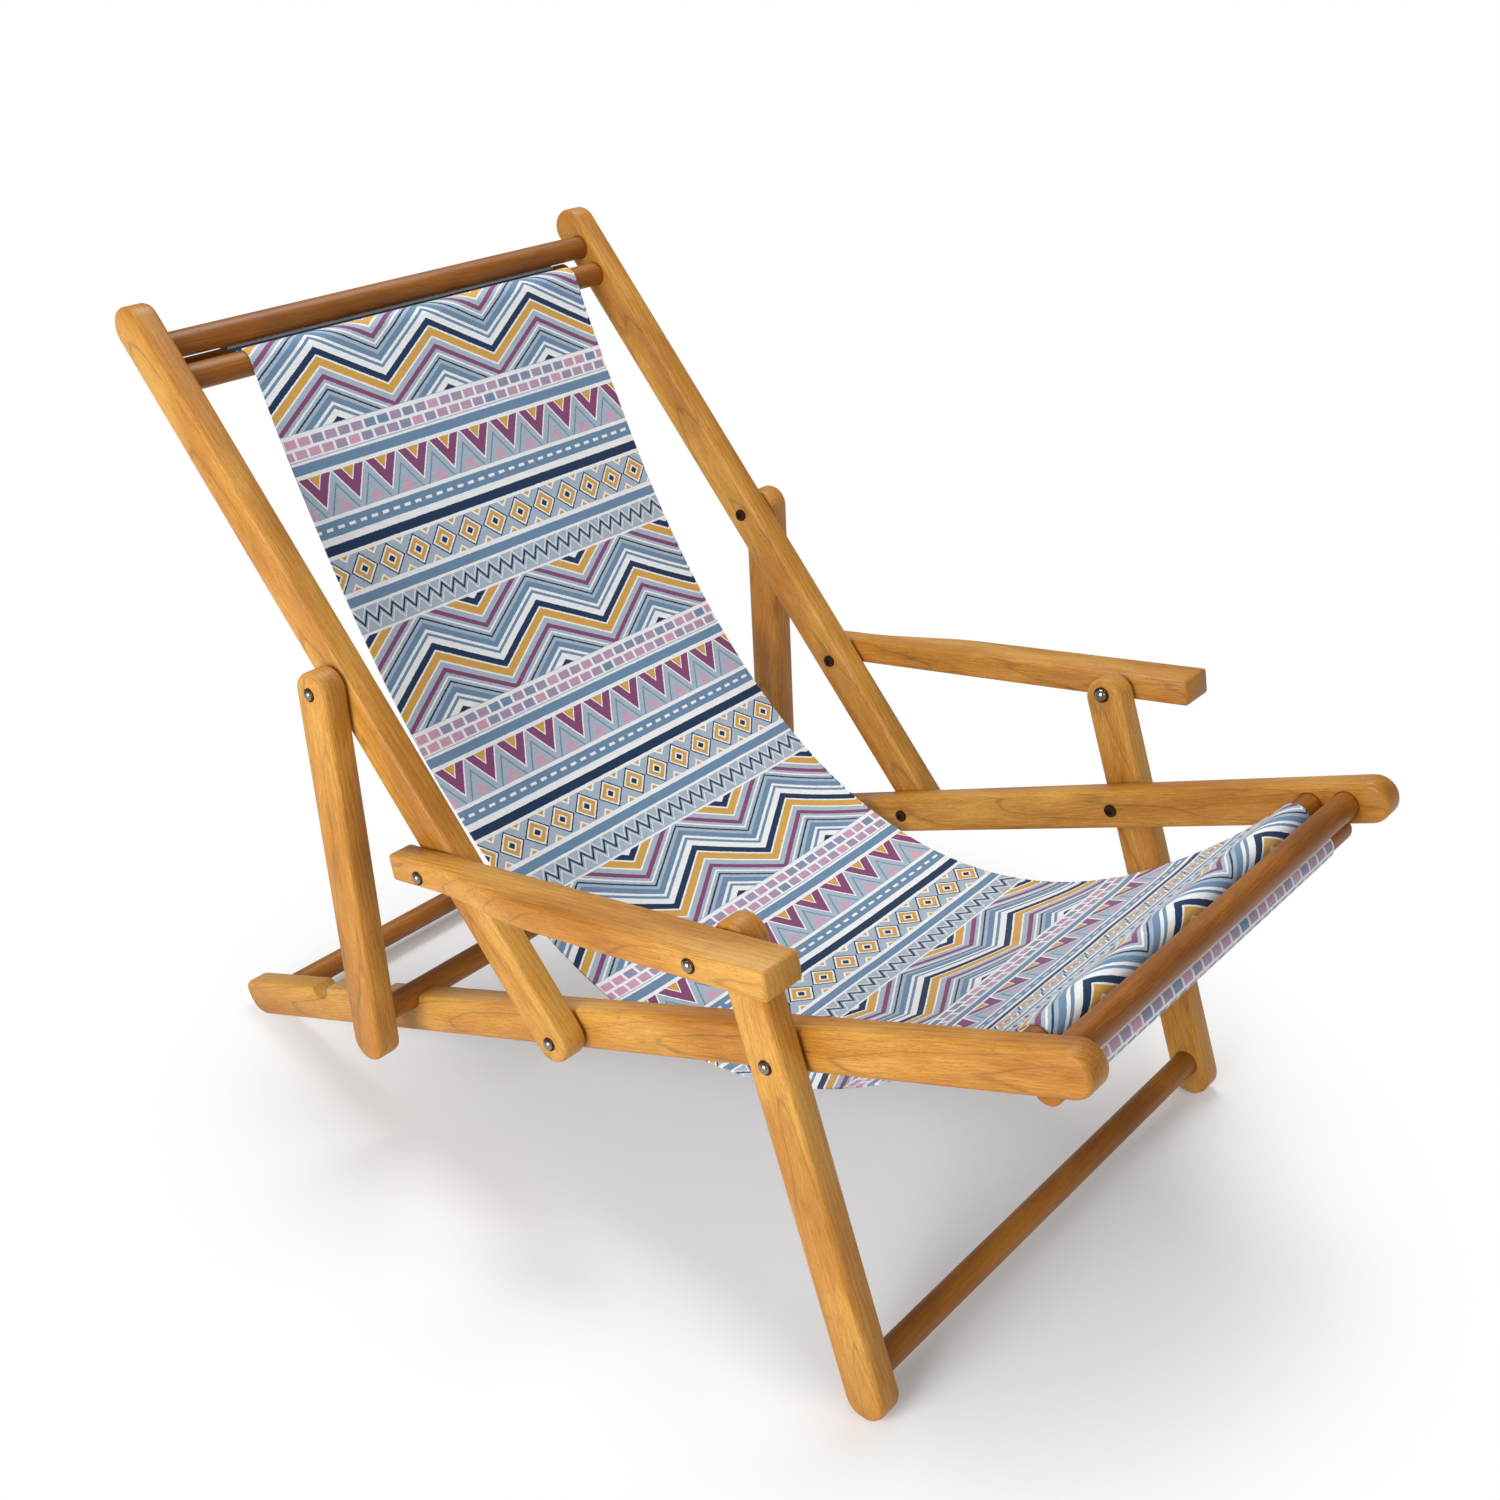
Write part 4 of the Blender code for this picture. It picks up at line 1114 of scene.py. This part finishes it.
def triangles(tree, across, height):
    """A row of plum triangles with a white outline and a mustard heart."""
    level = above_slope(tree, across, height, TRIANGLE_HALF, TRIANGLE_STEEPNESS)
    low, high = TRIANGLE_REACH
    shown = add(tree, "ShaderNodeMapRange", {"Value": level, "From Min": low, "From Max": high})
    tone = add(tree, "ShaderNodeValToRGB", {0: shown})
    set_stops(
        tone,
        [
            (0.0, MUSTARD), (0.16, CHALK), (0.19, PLUM), (0.42, CHALK), (0.46, GROUND),
            (0.60, STEEL), (0.64, GROUND), (0.80, PINK), (0.90, GROUND),
        ],
        step_like=True,
    )
    return tone


print("slope motifs:", zigzag.__name__, chevrons.__name__, triangles.__name__)

# %% [markdown]
# Lozenges come from a Voronoi texture with no randomness, measured by the Manhattan distance, which makes
# squares that stand on a corner. A Brick texture makes the row of small blocks, and dashes are places where
# a repeated distance is short.

# %% Lozenges, blocks and dashes
LOZENGE_WIDTH = 0.032
BLOCK_WIDTH = 0.0150
BLOCK_HEIGHT = 0.0105
BLOCK_LINE = 0.0014
DASH_STEP = 0.013
DASH_SHARE = 0.56
DASH_HALF_WIDTH = 0.0014


def lozenges(tree, across, height):
    """A row of lozenges in navy, white and mustard rings."""
    spot = add(tree, "ShaderNodeCombineXYZ", {"X": across, "Y": height})
    cells = add(
        tree,
        "ShaderNodeTexVoronoi",
        {"Vector": spot, "Scale": 1 / LOZENGE_WIDTH, "Randomness": 0.0},
        voronoi_dimensions="2D",
        distance="MANHATTAN",
    )
    tone = add(tree, "ShaderNodeValToRGB", {0: cells.outputs["Distance"]})
    set_stops(
        tone,
        [
            (0.0, NAVY), (0.12, CHALK), (0.19, MUSTARD), (0.36, CHALK), (0.43, NAVY),
            (0.49, GROUND), (0.80, CHALK), (0.88, MUSTARD),
        ],
        step_like=True,
    )
    return tone


def blocks(tree, across, height):
    """Two rows of blocks from pink to grey-blue with white lines between them."""
    spot = add(tree, "ShaderNodeCombineXYZ", {"X": across, "Y": height})
    wall = add(
        tree,
        "ShaderNodeTexBrick",
        {
            "Vector": spot,
            "Color1": linear(PINK),
            "Color2": linear(STEEL),
            "Mortar": linear(CHALK),
            "Scale": 1.0,
            "Mortar Size": BLOCK_LINE,
            "Mortar Smooth": 0.0,
            "Brick Width": BLOCK_WIDTH,
            "Row Height": BLOCK_HEIGHT,
        },
    )
    return wall


def dashes(tree, across, height):
    """A line of short white dashes."""
    turn = add(tree, "ShaderNodeMath", {0: across, 1: DASH_STEP / 2}, operation="PINGPONG")
    near = add(tree, "ShaderNodeMath", {0: turn, 1: DASH_STEP / 2 * DASH_SHARE}, operation="LESS_THAN")
    level = add(tree, "ShaderNodeMath", {0: height, 1: 0.0, 2: DASH_HALF_WIDTH}, operation="COMPARE")
    both = add(tree, "ShaderNodeMath", {0: near, 1: level}, operation="MULTIPLY")
    tone = add(tree, "ShaderNodeMix", {0: both, 6: linear(STEEL), 7: linear(CHALK)}, data_type="RGBA")
    return tone.outputs[2]


MOTIFS = (
    ("lozenges", lozenges),
    ("zigzag", zigzag),
    ("chevrons", chevrons),
    ("blocks", blocks),
    ("triangles", triangles),
    ("dashes", dashes),
)
print("motifs:", [name for name, _ in MOTIFS])

# %% [markdown]
# Canvas is a plain weave: threads go over and under each other. Two Wave textures at right angles give the
# two sets of threads, a bump makes them catch the light, and a little slub noise makes some threads
# thicker. The ink goes right through such a cloth, so the reverse is the same print, a little faded.

# %% Weave
WAVE_PERIOD = 0.314
SLUB_STRETCH = (60.0, 620.0, 1.0)
SLUB_RELIEF = 0.5
THREAD_RELIEF = 0.0004
FADED_INK = "#C3CAD2"
CLOTH_SHARP_ANGLE = math.radians(60)


def weave_and_finish(tree, shader, flat, colour, fade):
    """The canvas threads as tone and bump, on a matt cotton shader."""
    threads = []
    for direction in ("X", "Y"):
        wave = add(
            tree,
            "ShaderNodeTexWave",
            {"Vector": flat, "Scale": WAVE_PERIOD / THREAD_SPACING, "Distortion": 0.0},
            wave_type="BANDS",
            bands_direction=direction,
        )
        threads.append(wave.outputs["Fac"])
    over = add(tree, "ShaderNodeMath", {0: threads[0], 1: threads[1]}, operation="MULTIPLY")
    slub = stretched_noise(tree, flat, SLUB_STRETCH, 3.0)
    # The weave's tone is painted shade and highlight: darker where the threads dip under each other, a
    # little lighter on their crests. The slub tone is the threads' own.
    shade = add(tree, "ShaderNodeMapRange", {"Value": over, "To Min": 0.80, "To Max": 1.05})
    slub_shade = add(
        tree, "ShaderNodeMapRange", {"Value": slub, **NOISE_SPAN, "To Min": 0.92, "To Max": 1.05}
    )
    shades = add(tree, "ShaderNodeMath", {0: shade, 1: slub_shade}, operation="MULTIPLY")
    faded = add(tree, "ShaderNodeMix", {0: fade, 6: colour, 7: linear(FADED_INK)}, data_type="RGBA")
    woven = add(tree, "ShaderNodeVectorMath", {0: faded.outputs[2], 3: shades}, operation="SCALE")
    relief = add(tree, "ShaderNodeMath", {0: slub, 1: SLUB_RELIEF, 2: over}, operation="MULTIPLY_ADD")
    bump = add(tree, "ShaderNodeBump", {"Height": relief, "Strength": 0.35, "Distance": THREAD_RELIEF})
    feed(shader, {"Base Color": woven, "Normal": bump})
    feed(shader, {"Roughness": 0.88, "Specular IOR Level": 0.25})
    feed(shader, {"Sheen Weight": 0.12, "Sheen Roughness": 0.5})


face_canvas = printed_canvas("printed_cotton_canvas", 0.0)
back_canvas = printed_canvas("canvas_reverse", 0.12)
cloth_mesh.materials.append(face_canvas)
cloth_mesh.materials.append(back_canvas)
smooth_below(bake(canvas), CLOTH_SHARP_ANGLE)
print("canvas faces:", len(canvas.data.polygons))

# %% [markdown]
# ## Stitches
# Two rows of thread close each hem. Stitches are the same small shape many times along a line, so
# Geometry Nodes lay them: each row is an edge that becomes a curve, the curve is cut into equal steps, and
# a slim ellipsoid goes on each step.

# %% Stitch tree
stitch_tree, stitch_inputs = geometry_tree(
    "stitch_rows", {"Step": "Float", "Stitch size": "Vector", "Thread": "Material"}
)
given = add(stitch_tree, "NodeGroupInput")
curve = add(stitch_tree, "GeometryNodeMeshToCurve", {"Mesh": given.outputs["Geometry"]})
cut = add(
    stitch_tree,
    "GeometryNodeResampleCurve",
    {"Curve": curve, "Length": given.outputs["Step"]},
    mode="LENGTH",
)
bead = add(stitch_tree, "GeometryNodeMeshUVSphere", {"Segments": 8, "Rings": 5, "Radius": 0.5})
bead_sized = add(
    stitch_tree, "GeometryNodeTransform", {"Geometry": bead, "Scale": given.outputs["Stitch size"]}
)
sewn = add(stitch_tree, "GeometryNodeInstanceOnPoints", {"Points": cut, "Instance": bead_sized})
sewn_real = add(stitch_tree, "GeometryNodeRealizeInstances", {"Geometry": sewn})
threaded = add(
    stitch_tree, "GeometryNodeSetMaterial", {"Geometry": sewn_real, "Material": given.outputs["Thread"]}
)
add(stitch_tree, "NodeGroupOutput", {0: threaded})
print("stitch tree has", len(stitch_tree.nodes), "nodes")

# %% [markdown]
# The thread is undyed cotton, slightly warm. Its rows lie on both faces of the sewn lap, just inside the
# cloth's two edges, and ride with the bar that the hem is on.

# %% Hem stitches
STITCH_STEP = 0.0042
STITCH_SIZE = (0.0032, 0.0008, 0.0008)
STITCH_MARGIN = 0.004
STITCH_ROWS = (0.05, 0.45)
TWIST_SCALE = 1800.0

thread, tree, shader = new_material("cotton_thread")
twist = specks(tree, TWIST_SCALE, 2.0)
twist_tone = add(tree, "ShaderNodeValToRGB", {0: twist})
set_stops(twist_tone, [(0.3, "#C9CDD2"), (0.7, "#F0EFEA")])
feed(shader, {"Base Color": twist_tone, "Roughness": 0.8})


def hem_rows(pocket, meet, askew):
    """Two stitch lines on each face of a sewn lap, as (side-view point, right end, left end)."""
    lap_end, seam = pocket[0], pocket[2]
    outside = heading(meet, CLOTH_THICKNESS * 1.5 + PLY_GAP)
    inside = heading(meet, -CLOTH_THICKNESS * 0.5)
    rows = []
    for share in STITCH_ROWS:
        for stand in (outside, inside):
            point = seam + (lap_end - seam) * share + stand
            right = CLOTH_RIGHT + STITCH_MARGIN - askew
            left = CLOTH_LEFT - STITCH_MARGIN - askew
            rows.append((point, right, left))
    return rows


def stitches(name, body, rows):
    """One mesh of stitches for a hem."""
    ends = []
    for point, right, left in rows:
        ends.append((right, point.x, point.y))
        ends.append((left, point.x, point.y))
    lines = bpy.data.meshes.new(name)
    lines.from_pydata(ends, [(2 * i, 2 * i + 1) for i in range(len(rows))], [])
    values = {"Step": STITCH_STEP, "Stitch size": STITCH_SIZE, "Thread": thread}
    piece = made_by_tree(name, lines, stitch_tree, stitch_inputs, values)
    piece.data.shade_smooth()
    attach(piece, body)
    print(name, "has", len(piece.data.polygons), "faces")
    return piece


rear_stitches = stitches("rear_hem_stitches", "back", hem_rows(rear_pocket, rear_meet, 0.0))
front_stitches = stitches("front_hem_stitches", "seat", hem_rows(front_pocket, front_meet, CLOTH_SKEW))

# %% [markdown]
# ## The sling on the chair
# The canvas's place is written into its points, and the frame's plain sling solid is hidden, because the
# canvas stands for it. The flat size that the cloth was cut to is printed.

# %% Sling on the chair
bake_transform(canvas)
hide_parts("sling")
print("flat cloth:", round(CLOTH_WIDTH, 3), "by", round(SLING_LENGTH, 3), "m")

# %% [markdown]
# ## Finish
# The lathe shapes were only patterns for the fasteners, so they go.

# %% End
for pattern in (dome_shape, collar_shape, cap_shape):
    bpy.data.objects.remove(pattern)
